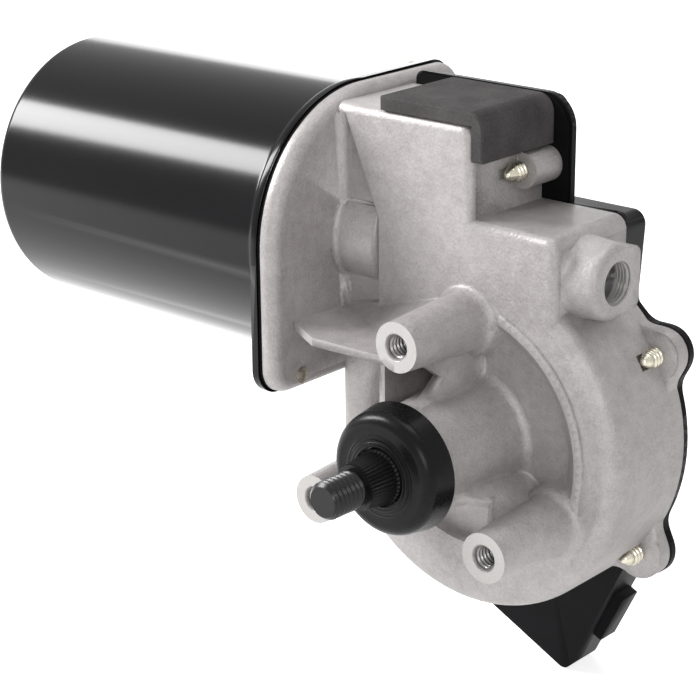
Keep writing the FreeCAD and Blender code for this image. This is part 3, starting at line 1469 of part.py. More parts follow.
def joint_outline(label, start, end, grow):
    """The outline of the cover's flange: round part, upper part and ears, grown by a rule."""
    disc = rod(label + "_disc", "y", "cover_radius + " + grow, start, end)
    kept = block(
        label + "_kept",
        ("-drum_side", "2 * cover_radius"),
        (start + " - 1", end + " + 1"),
        ("-2 * cover_radius", "2 * cover_radius"),
    )
    side = "-cover_side - (%s)" % grow
    top = "cover_top + (%s)" % grow
    right = "cover_right + (%s)" % grow
    shoulder = "ear_right_z + ear_right_radius + ear_lip + cover_wall"
    step = "cover_step_right + (%s)" % grow
    upper = prism(
        label + "_upper",
        "y",
        [
            (side, "cover_radius / 4"),
            ("cover_radius / 2", "cover_radius / 4"),
            ("ear_right_x - ear_right_radius / 2", "ear_right_z"),
            (step, shoulder),
            (step, "step_top"),
            (right, "step_top"),
            (right, top),
            (side, top),
        ],
        start,
        end,
    )
    soften(upper, "edge_round", corner_edges("y", (step, "step_top"), (side, top)))
    soften(upper, "cover_corner", corner_edges("y", (right, top)))
    pieces = [shared(label + "_round", disc, kept), upper]
    for number, (x, z, radius) in enumerate(EARS):
        ear_radius = "%s + ear_lip + (%s)" % (radius, grow)
        pieces.append(rod("%s_ear_%d" % (label, number), "y", ear_radius, start, end, (x, z)))
    return pieces


def plate_notch(label, start, end):
    """Room in cover and gasket for the edge of the flange plate."""
    return rod(label, "x", "flange_radius + moving_gap", "-2 * box_side", "-box_side + moving_gap", MOTOR_AXIS)


def cover_gasket():
    sheet_pieces = joint_outline("joint", "joint_face", "cover_front", "-gasket_inset")
    past = ("joint_face - 1", "cover_front + 1")
    openings = [
        rod("joint_opening", "y", "cavity_radius", *past),
        block("joint_room", ("-room_left", "-room_right"), past, ("room_bottom", "room_top")),
        plate_notch("joint_notch", *past),
    ]
    openings += screw_holes_in_ears("joint_hole", *past)
    node(less("joint_gasket", joined("joint_sheet", sheet_pieces), openings), "cover_gasket")


def dome_shapes(label, start, end, inset, rounded):
    """The raised part of the cover: a round box with two square ones running up from it."""
    radius = "dome_radius - " + inset
    round_part = turned(
        label + "_round",
        "y",
        [(start, "0"), (start, radius), (end, radius), (end, "0")],
    )
    left = "-cover_side + dome_margin + " + inset
    pieces = [round_part]
    for name, right, top in (
        ("tall", "-room_right", "room_top + cover_wall + 1"),
        ("low", "cover_step_right - dome_side", "step_top - dome_drop"),
    ):
        far = right + " - " + inset
        high = top + " - " + inset
        part = prism(
            "%s_%s" % (label, name),
            "y",
            [(left, "0"), (far, "0"), (far, high), (left, high)],
            start,
            end,
        )
        if rounded:
            soften(part, "box_round", corner_edges("y", (far, high), (left, high)))
        pieces.append(part)
    if rounded:
        soften(round_part, "dome_round", ring_edges("y", (end, radius)))
    return pieces


def tilted_block(label, u_range, y_range, v_range):
    """A box in the connector's own axes, before the connector is turned into place."""
    low, high = v_range
    return block(label, u_range, y_range, ("-(%s)" % high, "-(%s)" % low))


def tilted_rule(first, second):
    """The x and z rules of a point given along u and v."""
    x = "(%s) * cos(connector_tilt) - (%s) * sin(connector_tilt)" % (first, second)
    z = "-(%s) * sin(connector_tilt) - (%s) * cos(connector_tilt)" % (first, second)
    return x, z


def blade_spots():
    """The middle of each connector blade along u."""
    count = int(value("blade_count"))
    middle = "(connector_left + connector_right) / 2"
    return ["%s + %s * blade_step" % (middle, number - (count - 1) / 2) for number in range(count)]


def connector_shapes():
    """The connector block with its latch, and what is hollow in it."""
    body = prism(
        "connector_body",
        "y",
        [
            ("connector_left", "-connector_mouth"),
            ("connector_right", "-connector_mouth"),
            ("connector_right", "-connector_top"),
            ("connector_left", "-connector_top"),
        ],
        "cover_front",
        "connector_back",
    )
    spots = [("connector_left", "-connector_mouth"), ("connector_right", "-connector_mouth")]
    soften(body, "connector_corner", corner_edges("y", *spots))
    latch = tilted_block(
        "latch_block",
        ("connector_right - 1", "connector_right + latch_rise"),
        ("cover_front + 3 * connector_skin", "connector_back - 1"),
        ("latch_start", "latch_start + latch_length"),
    )
    solid = swung(joined("connector_solid", [body, latch]), "connector_tilt")
    inner = ("connector_left + connector_wall", "connector_right - connector_wall")
    depth = ("cover_front + connector_skin", "connector_back - connector_back_skin")
    socket = tilted_block("socket", inner, depth, ("socket_top", "connector_mouth + 1"))
    hollow = tilted_block("board_room", inner, depth, ("connector_top / 2", "barrier_top"))
    slots = []
    for number, middle in enumerate(blade_spots()):
        half = "(blade_width / 2 + screw_gap)"
        slots.append(
            tilted_block(
                "blade_slot_%d" % number,
                ("%s - %s" % (middle, half), "%s + %s" % (middle, half)),
                ("board_back - screw_gap", "board_back + blade_thick + screw_gap"),
                ("barrier_top - 1", "socket_top + 1"),
            )
        )
    rooms = swung(joined("connector_rooms", [socket, hollow] + slots), "connector_tilt")
    return solid, rooms


POSTS = (("-18", "-15"), ("-24", "40"), ("15", "-20"))


def gear_cover():
    """The moulded gear cover with its flange, raised part, board posts and connector."""
    flange = joint_outline("cover", "cover_front", "cover_flange_back", "0")
    dome = dome_shapes("dome", "cover_front", "cover_back", "0", True)
    solid, rooms = connector_shapes()
    full = joined("cover_full", flange + dome + [solid])
    inside = dome_shapes("dome_room", "cover_front - 1", "cover_back - cover_wall", "cover_wall", False)
    past = ("cover_front - 1", "cover_flange_back + 1")
    cuts = inside + [rooms, plate_notch("cover_notch", *past)] + screw_holes_in_ears("cover_hole", *past)
    hollow = less("cover_hollow", full, cuts)
    posts = [
        rod("post_%d" % number, "y", "post_radius", "board_back", "cover_back - cover_wall / 2", spot)
        for number, spot in enumerate(POSTS)
    ]
    node(joined("cover", [hollow] + posts), "gear_cover")


def circuit_board():
    """The board in the cover, its contact fingers and the connector blades soldered to it."""
    disc = rod("board_disc", "y", "board_radius", "board_front", "board_back")
    upper = block(
        "board_upper",
        ("-room_left + 5", "-room_right - cover_wall - screw_gap"),
        ("board_front", "board_back"),
        ("board_radius / 2", "room_top - 2"),
    )
    tab = tilted_block(
        "board_tab",
        ("connector_left + connector_wall + barrier_margin", "connector_right - connector_wall - barrier_margin"),
        ("board_front", "board_back"),
        ("connector_top / 2", "barrier_top - 2 * connector_wall"),
    )
    swung(tab, "connector_tilt")
    corner = tilted_rule("connector_left + connector_wall + barrier_margin", "barrier_top - 2 * connector_wall")
    place(tab, corner[0], "board_front", corner[1])
    node(joined("board", [disc, upper, tab]), "circuit_board")
    fingers = []
    reach = "-finger_reach"
    for number in range(3):
        middle = "(%d - 1) * finger_step" % number
        tip = "disc_back + moving_gap"
        thick = "finger_thick"
        bend = "(%s) + finger_bend" % tip
        finger = prism(
            "finger_%d" % number,
            "z",
            [
                (reach + " - finger_foot", "board_front"),
                (reach + " - finger_foot", "board_front - " + thick),
                (reach + " + finger_bend", "board_front - " + thick),
                (reach + " - 2 * finger_bend", bend),
                (reach, tip),
                (reach + " + 2 * finger_bend", bend),
                (reach + " + 2 * finger_bend - " + thick, "%s + %s" % (bend, thick)),
                (reach, "(%s) + %s" % (tip, thick)),
                (reach + " - 2 * finger_bend + 1.5 * " + thick, bend),
                (reach + " + 2 * finger_bend", "board_front"),
            ],
            "(%s) - finger_width / 2" % middle,
            "(%s) + finger_width / 2" % middle,
        )
        fingers.append(finger)
    node(group("fingers", fingers), "contact_fingers")
    blades = []
    for number, middle in enumerate(blade_spots()):
        low = "blade_end - blade_length"
        blade = tilted_block(
            "blade_%d" % number,
            ("%s - blade_width / 2" % middle, "%s + blade_width / 2" % middle),
            ("board_back", "board_back + blade_thick"),
            (low, "blade_end"),
        )
        swung(blade, "connector_tilt")
        corner = tilted_rule("%s - blade_width / 2" % middle, "blade_end")
        blades.append(place(blade, corner[0], "board_back", corner[1]))
    node(group("blades", blades), "connector_terminals")


def pan_screw(label, axis, spot, under_head, length, way, point):
    """A pointed screw with a rounded pan head; way is 1 where it points along the axis, else -1."""
    head_end = "(%s) - (%d) * head_height" % (under_head, way)
    tip = "(%s) + (%d) * (%s)" % (under_head, way, length)
    slope = "head_height / 3"
    return turned(
        label,
        axis,
        [
            (head_end, "0"),
            (head_end, "head_radius - " + slope),
            ("(%s) + (%d) * %s" % (head_end, way, slope), "head_radius"),
            (under_head, "head_radius"),
            (under_head, "screw_radius"),
            ("(%s) - (%d) * (%s)" % (tip, way, point), "screw_radius"),
            (tip, "screw_radius / 3"),
            (tip, "0"),
        ],
        spot,
    )


def screws():
    cover = [
        pan_screw("cover_screw_%d" % number, "y", (x, z), "cover_flange_back", "screw_length", -1, "screw_point")
        for number, (x, z, _) in enumerate(EARS)
    ]
    node(group("screws_of_cover", cover), "cover_screws")
    through = "can_sheet + can_gasket_thick + flange_thick + screw_tip"
    flange = [
        pan_screw("flange_screw_%d" % number, "x", spot, "can_flange_back", through, 1, "screw_tip / 2")
        for number, spot in enumerate(FLANGE_SCREWS)
    ]
    node(group("screws_of_flange", flange), "flange_screws")


def foam_pad():
    """The bent foam strip on the top corner of the upper case."""
    right = "box_right + pad_thick"
    top = "box_top + pad_thick"
    pad = prism(
        "pad",
        "y",
        [
            ("-pad_left", "box_top"),
            ("box_right", "box_top"),
            ("box_right", "pad_flap"),
            (right, "pad_flap"),
            (right, top),
            ("-pad_left", top),
        ],
        "front_face",
        "joint_face - screw_gap",
    )
    node(soften(pad, "pad_round", corner_edges("y", (right, top))), "foam_pad")


def check_and_write():
    """Stop on any failed object, then write each finished piece to its own file."""
    doc.recompute()
    for item in doc.Objects:
        if "Invalid" in item.State or "Error" in item.State:
            raise RuntimeError("failed: %s %s" % (item.Name, item.State))
    for item in finished:
        shape = item.Shape
        if shape.isNull() or not shape.isValid() or not shape.Solids:
            raise RuntimeError("no valid shape: " + item.Label)
    os.makedirs("parts", exist_ok=True)
    for item in finished:
        item.Shape.exportStep("parts/%s.step" % item.Label)
        print("%-24s solids %2d volume %10.1f" % (item.Label, len(item.Shape.Solids), item.Shape.Volume))


gear_housing()
motor_can()
can_gasket()
magnets()
rear_bearing()
case_bearings()
armature()
brush_gear()
motor_leads()
output_group()
shaft_boot()
cover_gasket()
gear_cover()
circuit_board()
screws()
foam_pad()
check_and_write()
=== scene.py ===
"""Looks of the wiper motor: finishes, fine parts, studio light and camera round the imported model."""

import logging
import math
from dataclasses import dataclass, field
from enum import Enum
from typing import Any, Callable, Sequence

import bmesh
import bpy
import numpy as np
from mathutils import Matrix, Vector


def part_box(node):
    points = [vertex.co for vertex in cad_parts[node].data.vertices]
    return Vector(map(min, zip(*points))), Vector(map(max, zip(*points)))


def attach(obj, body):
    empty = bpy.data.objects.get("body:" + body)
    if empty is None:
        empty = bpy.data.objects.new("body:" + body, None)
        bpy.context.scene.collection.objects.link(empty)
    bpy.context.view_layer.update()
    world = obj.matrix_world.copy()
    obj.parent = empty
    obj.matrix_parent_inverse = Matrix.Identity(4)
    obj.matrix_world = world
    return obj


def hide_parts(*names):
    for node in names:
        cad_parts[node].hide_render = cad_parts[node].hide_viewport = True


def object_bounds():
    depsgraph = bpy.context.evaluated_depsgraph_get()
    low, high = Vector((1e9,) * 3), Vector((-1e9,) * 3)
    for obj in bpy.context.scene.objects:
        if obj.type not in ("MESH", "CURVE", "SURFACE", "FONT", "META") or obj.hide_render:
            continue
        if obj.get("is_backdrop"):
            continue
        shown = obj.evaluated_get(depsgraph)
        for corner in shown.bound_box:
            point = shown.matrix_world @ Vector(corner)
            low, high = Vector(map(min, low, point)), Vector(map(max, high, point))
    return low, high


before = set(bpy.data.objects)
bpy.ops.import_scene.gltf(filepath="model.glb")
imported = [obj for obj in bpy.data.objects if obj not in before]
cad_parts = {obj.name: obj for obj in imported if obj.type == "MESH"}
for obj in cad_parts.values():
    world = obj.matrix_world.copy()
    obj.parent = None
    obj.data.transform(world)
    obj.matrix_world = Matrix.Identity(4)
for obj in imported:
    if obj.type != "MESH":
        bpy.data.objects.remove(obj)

LOG = logging.getLogger("wiper_motor")
MM = 0.001
METRE_MM = 1000.0
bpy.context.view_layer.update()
WHITE = (1.0, 1.0, 1.0)
MERGE_MM = 0.001
SLIVER_MM = 0.0005
SMOOTH_DEGREES = 32.0
MOTOR_AXIS = (33.0, 37.7)
BOSS_CIRCLE = 26.2
BOSS_TURNS = (90.0, -30.0, -150.0)
LOW_EARS = ((33.2, 20.2, 5.3), (30.4, -24.8, 5.9))
EAR_SHIFT = 5.5


def boss_centres() -> list[tuple[float, float]]:
    """The places of the three threaded bosses, on their circle at their turns.

    Returns:
        The x and z of each boss, in millimetres.
    """
    angles = [math.radians(turn) for turn in BOSS_TURNS]
    return [(BOSS_CIRCLE * math.cos(angle), BOSS_CIRCLE * math.sin(angle)) for angle in angles]


class Signal:
    """One value socket of a node tree. Arithmetic on it adds Math nodes."""

    def __init__(self, graph: "Graph", socket: bpy.types.NodeSocket) -> None:
        """Keep the socket and the graph that new nodes go into.

        Args:
            graph: the graph that the socket is in.
            socket: the output socket that carries the value.
        """
        self.graph = graph
        self.socket = socket

    def _math(self, operation: str, *values: Any, clamp: bool = False) -> "Signal":
        """Add one Math node.

        Args:
            operation: the node's operation.
            values: its inputs, signals or numbers.
            clamp: whether the result is kept between 0 and 1.

        Returns:
            The node's result.
        """
        links = dict(enumerate(values))
        made = self.graph.node("ShaderNodeMath", {"operation": operation, "use_clamp": clamp}, links)
        return Signal(self.graph, made.outputs[0])

    def __add__(self, other: Any) -> "Signal":
        """Sum."""
        return self._math("ADD", self, other)

    def __sub__(self, other: Any) -> "Signal":
        """Difference."""
        return self._math("SUBTRACT", self, other)

    def __mul__(self, other: Any) -> "Signal":
        """Product."""
        return self._math("MULTIPLY", self, other)

    def __pow__(self, other: Any) -> "Signal":
        """Power."""
        return self._math("POWER", self, other)

    def lowest(self, other: Any) -> "Signal":
        """The lower of two values.

        Args:
            other: the second value.

        Returns:
            The lower one.
        """
        return self._math("MINIMUM", self, other)

    def highest(self, other: Any) -> "Signal":
        """The higher of two values.

        Args:
            other: the second value.

        Returns:
            The higher one.
        """
        return self._math("MAXIMUM", self, other)

    def away(self, other: "Signal") -> "Signal":
        """The length of the arrow that has two values as its legs.

        Args:
            other: the second leg.

        Returns:
            The square root of the sum of both squares.
        """
        return (self * self + other * other) ** 0.5

    def sine(self) -> "Signal":
        """The sine of the value.

        Returns:
            Its sine.
        """
        return self._math("SINE", self)

    def step(self, start: float, end: float) -> "Signal":
        """A clamped ramp.

        Args:
            start: the value where the ramp is 0.
            end: the value where it is 1.

        Returns:
            The ramp's height.
        """
        return self._math("MULTIPLY", self - start, 1.0 / (end - start), clamp=True)


class Graph:
    """The node tree of a material or a world, with short ways to add nodes."""

    def __init__(self, owner: bpy.types.Material | bpy.types.World) -> None:
        """Empty the owner's node tree.

        Args:
            owner: the new material or world.
        """
        self.owner = owner
        owner.use_nodes = True
        self.tree = owner.node_tree
        self.tree.nodes.clear()
        self._place: bpy.types.NodeSocket | None = None

    def node(self, kind: str, settings: dict[str, Any], inputs: dict[Any, Any]) -> bpy.types.Node:
        """Add a node, set it and link it.

        Args:
            kind: the node's type.
            settings: its properties.
            inputs: values or links of its sockets, by name or number.

        Returns:
            The new node.
        """
        made = self.tree.nodes.new(kind)
        for key, setting in settings.items():
            setattr(made, key, setting)
        for key, given in inputs.items():
            if isinstance(given, Signal):
                self.tree.links.new(given.socket, made.inputs[key])
            elif isinstance(given, bpy.types.NodeSocket):
                self.tree.links.new(given, made.inputs[key])
            else:
                made.inputs[key].default_value = given
        return made

    def where(self) -> bpy.types.NodeSocket:
        """The object coordinates.

        Returns:
            The socket that carries them, in metres.
        """
        if self._place is None:
            self._place = self.node("ShaderNodeTexCoord", {}, {}).outputs["Object"]
        return self._place

    def axes(self) -> tuple[Signal, Signal, Signal]:
        """The object coordinates one by one.

        Returns:
            Their x, y and z, in millimetres.
        """
        split = self.node("ShaderNodeSeparateXYZ", {}, {0: self.where()})
        return tuple(Signal(self, split.outputs[number]) * METRE_MM for number in range(3))

    def noise(
        self, size_mm: float, detail: float = 2.0, rough: float = 0.5, stretch: Sequence[float] = (1, 1, 1)
    ) -> Signal:
        """A cloudy value between 0 and 1.

        Args:
            size_mm: the width of its blots.
            detail: how many finer layers it has.
            rough: how strong the finer layers are.
            stretch: how much longer the blots are along x, y and z.

        Returns:
            The noise's value.
        """
        scale = tuple(1.0 / (size_mm * MM * along) for along in stretch)
        mapped = self.node("ShaderNodeMapping", {}, {"Vector": self.where(), "Scale": scale})
        made = self.node(
            "ShaderNodeTexNoise",
            {},
            {"Vector": mapped.outputs[0], "Scale": 1.0, "Detail": detail, "Roughness": rough},
        )
        return Signal(self, made.outputs[0])

    def cells(self, size_mm: float) -> Signal:
        """The distance to the nearest of many scattered points.

        Args:
            size_mm: the width of a cell.

        Returns:
            The distance, in cell widths.
        """
        inputs = {"Vector": self.where(), "Scale": 1.0 / (size_mm * MM)}
        made = self.node("ShaderNodeTexVoronoi", {}, inputs)
        return Signal(self, made.outputs["Distance"])

    def blend(self, share: Any, first: Any, second: Any) -> bpy.types.NodeSocket:
        """A colour between two, by a share.

        Args:
            share: 0 for the first colour, 1 for the second.
            first: a colour or a colour socket.
            second: a colour or a colour socket.

        Returns:
            The mixed colour.
        """
        colours = [(*colour, 1.0) if isinstance(colour, tuple) else colour for colour in (first, second)]
        inputs = {0: share, 6: colours[0], 7: colours[1]}
        return self.node("ShaderNodeMix", {"data_type": "RGBA"}, inputs).outputs[2]

    def bump(
        self, height: Signal, depth_mm: float, strength: float = 1.0, under: Any = None
    ) -> bpy.types.NodeSocket:
        """Small relief from a height.

        Args:
            height: the relief, 0 to 1.
            depth_mm: how deep 1 is.
            strength: how much of it shows.
            under: another relief's normal that this one adds to.

        Returns:
            The normal.
        """
        inputs = {"Height": height, "Distance": depth_mm * MM, "Strength": strength}
        if under is not None:
            inputs["Normal"] = under
        return self.node("ShaderNodeBump", {}, inputs).outputs[0]

    def surface(self, **inputs: Any) -> bpy.types.Material:
        """Finish the material with one shader.

        Args:
            inputs: the shader's sockets, with underscores for spaces.

        Returns:
            The material.
        """
        named = {key.replace("_", " "): given for key, given in inputs.items()}
        for key, given in named.items():
            if isinstance(given, tuple) and len(given) == 3:
                named[key] = (*given, 1.0)
        shader = self.node("ShaderNodeBsdfPrincipled", {}, named)
        self.node("ShaderNodeOutputMaterial", {}, {"Surface": shader.outputs[0]})
        return self.owner


class Body(Enum):
    """The bodies that the new pieces ride on."""

    HOUSING = "housing"
    OUTPUT = "output"


class Along(Enum):
    """The axis of a turned piece, as the places of its two cross directions and of itself."""

    X = (1, 2, 0)
    Y = (0, 2, 1)


@dataclass(frozen=True)
class CastMetal:
    """Die-cast aluminium: satin and grained, with machined faces and bores."""

    name: str = "cast_aluminium"
    light: tuple[float, float, float] = (0.47, 0.447, 0.442)
    dark: tuple[float, float, float] = (0.30, 0.281, 0.277)
    cut: tuple[float, float, float] = (0.44, 0.425, 0.415)
    grain_mm: float = 0.42
    mottle_mm: float = 2.4
    cloud_mm: float = 15.0
    speck_grains: float = 2.2
    cloud_weight: float = 0.4
    mottle_weight: float = 0.35
    grain_weight: float = 0.55
    weight_shift: float = 0.15
    grain_depth_mm: float = 0.12
    mottle_depth_mm: float = 0.14
    metallic: float = 0.35
    roughness: float = 0.36
    specular: float = 0.35
    face_mm: float = 0.06
    full_face_mm: float = 0.02
    mouth_mm: float = 3.0
    mouth_edge_mm: float = 0.05
    bore_full_mm: float = 12.0
    bore_end_mm: float = 14.0
    bore_share: float = 0.6

    def machined(self, graph: Graph) -> Signal:
        """Where the cast skin is cut away: the boss faces and the mouths of their bores.

        Args:
            graph: the material's graph.

        Returns:
            1 on machined metal, 0 on the cast skin.
        """
        x, y, z = graph.axes()
        aways = [(x - across).away(z - up) for across, up in boss_centres()]
        nearest = aways[0].lowest(aways[1]).lowest(aways[2])
        face = y.step(self.face_mm, self.full_face_mm)
        mouth = nearest.step(self.mouth_mm + self.mouth_edge_mm, self.mouth_mm)
        bore = mouth * y.step(self.bore_end_mm, self.bore_full_mm)
        return face.highest(bore * self.bore_share)

    def build(self) -> bpy.types.Material:
        """Colour clouds, fine grain in the relief and uneven gloss.

        Returns:
            The material.
        """
        graph = Graph(bpy.data.materials.new(self.name))
        cloud = graph.noise(self.cloud_mm, 4.0, 0.6)
        grain = graph.noise(self.grain_mm, 3.0, 0.65)
        mottle = graph.noise(self.mottle_mm, 3.0, 0.6)
        speck = graph.cells(self.grain_mm * self.speck_grains).step(0.0, 0.5)
        mixed = cloud * self.cloud_weight + mottle * self.mottle_weight + grain * self.grain_weight
        share = (mixed - self.weight_shift).step(0.3, 0.7)
        machined = self.machined(graph)
        colour = graph.blend(machined, graph.blend(share, self.dark, self.light), self.cut)
        relief = graph.bump(grain * 0.6 + speck * 0.4, self.grain_depth_mm)
        return graph.surface(
            Base_Color=colour,
            Metallic=self.metallic,
            Roughness=grain * 0.16 + self.roughness + cloud * 0.1 - machined * 0.1,
            Specular_IOR_Level=self.specular,
            Normal=graph.bump(mottle, self.mottle_depth_mm, 0.6, relief),
        )


@dataclass(frozen=True)
class GlossPaint:
    """Thick glossy paint on drawn steel."""

    name: str = "gloss_black_paint"
    colour: tuple[float, float, float] = (0.0015, 0.0015, 0.002)
    worn: tuple[float, float, float] = (0.004, 0.0035, 0.0045)
    peel_mm: float = 1.4
    haze_mm: float = 22.0
    haze_stretch: tuple[float, float, float] = (3.0, 1.0, 1.0)
    peel_depth_mm: float = 0.004
    haze_depth_mm: float = 0.02
    roughness: float = 0.13
    specular: float = 0.18

    def build(self) -> bpy.types.Material:
        """Nearly black, with the faint waviness of sprayed paint.

        Returns:
            The material.
        """
        graph = Graph(bpy.data.materials.new(self.name))
        peel = graph.noise(self.peel_mm)
        haze = graph.noise(self.haze_mm, 3.0, 0.6, self.haze_stretch)
        relief = graph.bump(peel, self.peel_depth_mm, 0.5)
        return graph.surface(
            Base_Color=graph.blend(haze.step(0.3, 0.8), self.colour, self.worn),
            Roughness=haze * 0.04 + peel * 0.02 + self.roughness,
            Specular_IOR_Level=self.specular,
            Normal=graph.bump(haze, self.haze_depth_mm, 0.4, relief),
        )


@dataclass(frozen=True)
class MouldedRubber:
    """Semi-gloss black rubber with the fine turned rings of its mould near the lip."""

    name: str = "boot_rubber"
    colour: tuple[float, float, float] = (0.004, 0.004, 0.0045)
    dusty: tuple[float, float, float] = (0.010, 0.010, 0.010)
    ring_mm: float = 0.7
    ring_end_mm: float = 8.6
    ring_fade_mm: float = 0.4
    ring_depth_mm: float = 0.10
    grain_mm: float = 0.3
    grain_depth_mm: float = 0.008
    dust_mm: float = 6.0
    roughness: float = 0.22
    specular: float = 0.13

    def build(self) -> bpy.types.Material:
        """Rings round the shaft's axis, a fine grain and a little dust.

        Returns:
            The material.
        """
        graph = Graph(bpy.data.materials.new(self.name))
        x, _, z = graph.axes()
        away = x.away(z)
        rings = (away * (2.0 * math.pi / self.ring_mm)).sine() * 0.5 + 0.5
        near = away.step(self.ring_end_mm + self.ring_fade_mm, self.ring_end_mm)
        grain = graph.noise(self.grain_mm, 3.0, 0.6)
        dust = graph.noise(self.dust_mm, 4.0, 0.65).step(0.45, 0.8)
        relief = graph.bump(rings * near, self.ring_depth_mm, 0.8)
        return graph.surface(
            Base_Color=graph.blend(dust, self.colour, self.dusty),
            Roughness=grain * 0.08 + dust * 0.1 + self.roughness,
            Specular_IOR_Level=self.specular,
            Normal=graph.bump(grain, self.grain_depth_mm, 0.6, relief),
        )


@dataclass(frozen=True)
class PlainFinish:
    """A finish with a colour that clouds a little and a fine relief."""

    name: str
    colour: tuple[float, float, float]
    roughness: float
    metallic: float = 0.0
    grain_mm: float = 0.5
    depth_mm: float = 0.01
    spread: float = 0.25
    stretch: tuple[float, float, float] = (1.0, 1.0, 1.0)
    specular: float = 0.5
    cloud_mm: float = 8.0
    gloss_spread: float = 0.16

    def build(self) -> bpy.types.Material:
        """Cloud the colour and the gloss, and lay a fine grain over both.

        Returns:
            The material.
        """
        graph = Graph(bpy.data.materials.new(self.name))
        grain = graph.noise(self.grain_mm, 3.0, 0.6, self.stretch)
        cloud = graph.noise(self.cloud_mm)
        share = (grain * 0.5 + cloud * 0.5).step(0.3, 0.7)
        low = tuple(part * (1.0 - self.spread) for part in self.colour)
        high = tuple(min(1.0, part * (1.0 + self.spread)) for part in self.colour)
        return graph.surface(
            Base_Color=graph.blend(share, low, high),
            Metallic=self.metallic,
            Roughness=(grain - 0.5) * self.gloss_spread + self.roughness,
            Specular_IOR_Level=self.specular,
            Normal=graph.bump(grain, self.depth_mm, 0.7),
        )


SEAL = PlainFinish("gasket_rubber", (0.005, 0.005, 0.005), 0.6, grain_mm=0.4, specular=0.06)
PLASTIC = PlainFinish(
    "black_plastic", (0.005, 0.005, 0.006), 0.42, grain_mm=0.25, depth_mm=0.012, specular=0.07
)
FOAM = PlainFinish(
    "grey_foam", (0.070, 0.066, 0.066), 0.95, grain_mm=0.5, depth_mm=0.16, spread=0.4, specular=0.08
)
OXIDE = PlainFinish(
    "black_oxide", (0.012, 0.012, 0.013), 0.3, 0.45, grain_mm=0.3, depth_mm=0.006, specular=0.4
)
ZINC = PlainFinish("zinc_plate", (0.58, 0.55, 0.45), 0.28, 0.9, grain_mm=0.3, depth_mm=0.008)
STEEL = PlainFinish("ground_steel", (0.52, 0.52, 0.53), 0.3, 1.0, grain_mm=0.2, depth_mm=0.004)
CUT_THREAD = PlainFinish("cut_thread", (0.27, 0.262, 0.258), 0.32, 0.5, grain_mm=0.2, depth_mm=0.004)
SPRING = PlainFinish("spring_steel", (0.40, 0.40, 0.41), 0.35, 1.0, grain_mm=0.3)
BRONZE = PlainFinish("sintered_bronze", (0.42, 0.28, 0.14), 0.5, 0.9, grain_mm=0.2, depth_mm=0.02)
COPPER = PlainFinish("enamelled_copper", (0.55, 0.24, 0.10), 0.3, 0.85, grain_mm=0.4, depth_mm=0.05)
FERRITE = PlainFinish("ferrite", (0.060, 0.060, 0.065), 0.6, 0.2, grain_mm=0.4, depth_mm=0.02)
LAMINATION = PlainFinish(
    "lamination_steel", (0.26, 0.26, 0.27), 0.45, 0.9, grain_mm=0.5, depth_mm=0.03, stretch=(0.4, 4.0, 4.0)
)
CARBON = PlainFinish("carbon", (0.035, 0.035, 0.037), 0.55, grain_mm=0.2)
PHENOLIC = PlainFinish("phenolic", (0.16, 0.075, 0.035), 0.5, grain_mm=0.5)
NYLON = PlainFinish("white_nylon", (0.72, 0.69, 0.60), 0.4, grain_mm=0.6, depth_mm=0.01, spread=0.06)
TIN = PlainFinish("tinned_brass", (0.60, 0.55, 0.42), 0.3, 0.95, grain_mm=0.3)
BOARD = PlainFinish("green_board", (0.03, 0.14, 0.06), 0.35, grain_mm=0.5, depth_mm=0.01)
CAST = CastMetal()
PAINT = GlossPaint()
BOOT = MouldedRubber()

Finish = CastMetal | GlossPaint | MouldedRubber | PlainFinish


class Shop:
    """Makes the finishes once and hands out meshes as pieces of the part."""

    made: dict[str, bpy.types.Material] = {}

    @classmethod
    def material(cls, finish: Finish) -> bpy.types.Material:
        """The finish's material, built when it is first asked for.

        Args:
            finish: the finish.

        Returns:
            Its material.
        """
        if finish.name not in cls.made:
            cls.made[finish.name] = finish.build()
        return cls.made[finish.name]

    @classmethod
    def dress(cls, node: str, finish: Finish) -> None:
        """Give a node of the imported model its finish.

        Args:
            node: the node's name.
            finish: what it is made of.
        """
        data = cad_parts[node].data
        data.materials.clear()
        data.materials.append(cls.material(finish))
        LOG.info("dressed %s in %s", node, finish.name)

    @classmethod
    def piece(cls, mesh: bpy.types.Mesh, body: Body, slot: str, finish: Finish) -> bpy.types.Object:
        """Make a finished piece from a mesh.

        Args:
            mesh: the mesh, in metres in the part's frame.
            body: the body that it moves with.
            slot: the record's material slot; not used.
            finish: what it is made of.

        Returns:
            The piece.
        """
        mesh.materials.clear()
        mesh.materials.append(cls.material(finish))
        made = bpy.data.objects.new(mesh.name, mesh)
        bpy.context.collection.objects.link(made)
        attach(made, body.value)
        LOG.info("built %s with %d faces", mesh.name, len(mesh.polygons))
        return made


def closed_mesh(
    name: str, points: np.ndarray, smooth_degrees: float, capped: bool = False
) -> bpy.types.Mesh:
    """A closed surface from a grid of points.

    Args:
        name: the mesh's name.
        points: rows by columns by 3, in millimetres. The last column is followed by the first one again.
        smooth_degrees: edges that bend less than this look round.
        capped: whether the first and the last row are the rims of flat ends. Without caps they are joined.

    Returns:
        The mesh, in metres.
    """
    rows, columns = points.shape[:2]
    number = np.arange(rows * columns).reshape(rows, columns)
    below = np.roll(number, -1, axis=0)
    faces = np.stack([number, np.roll(number, -1, axis=1), np.roll(below, -1, axis=1), below], axis=-1)
    kept = faces[:-1] if capped else faces
    ends = [number[0].tolist(), number[-1].tolist()] if capped else []
    mesh = bpy.data.meshes.new(name)
    mesh.from_pydata((points.reshape(-1, 3) * MM).tolist(), [], kept.reshape(-1, 4).tolist() + ends)
    return tidied(mesh, smooth_degrees)


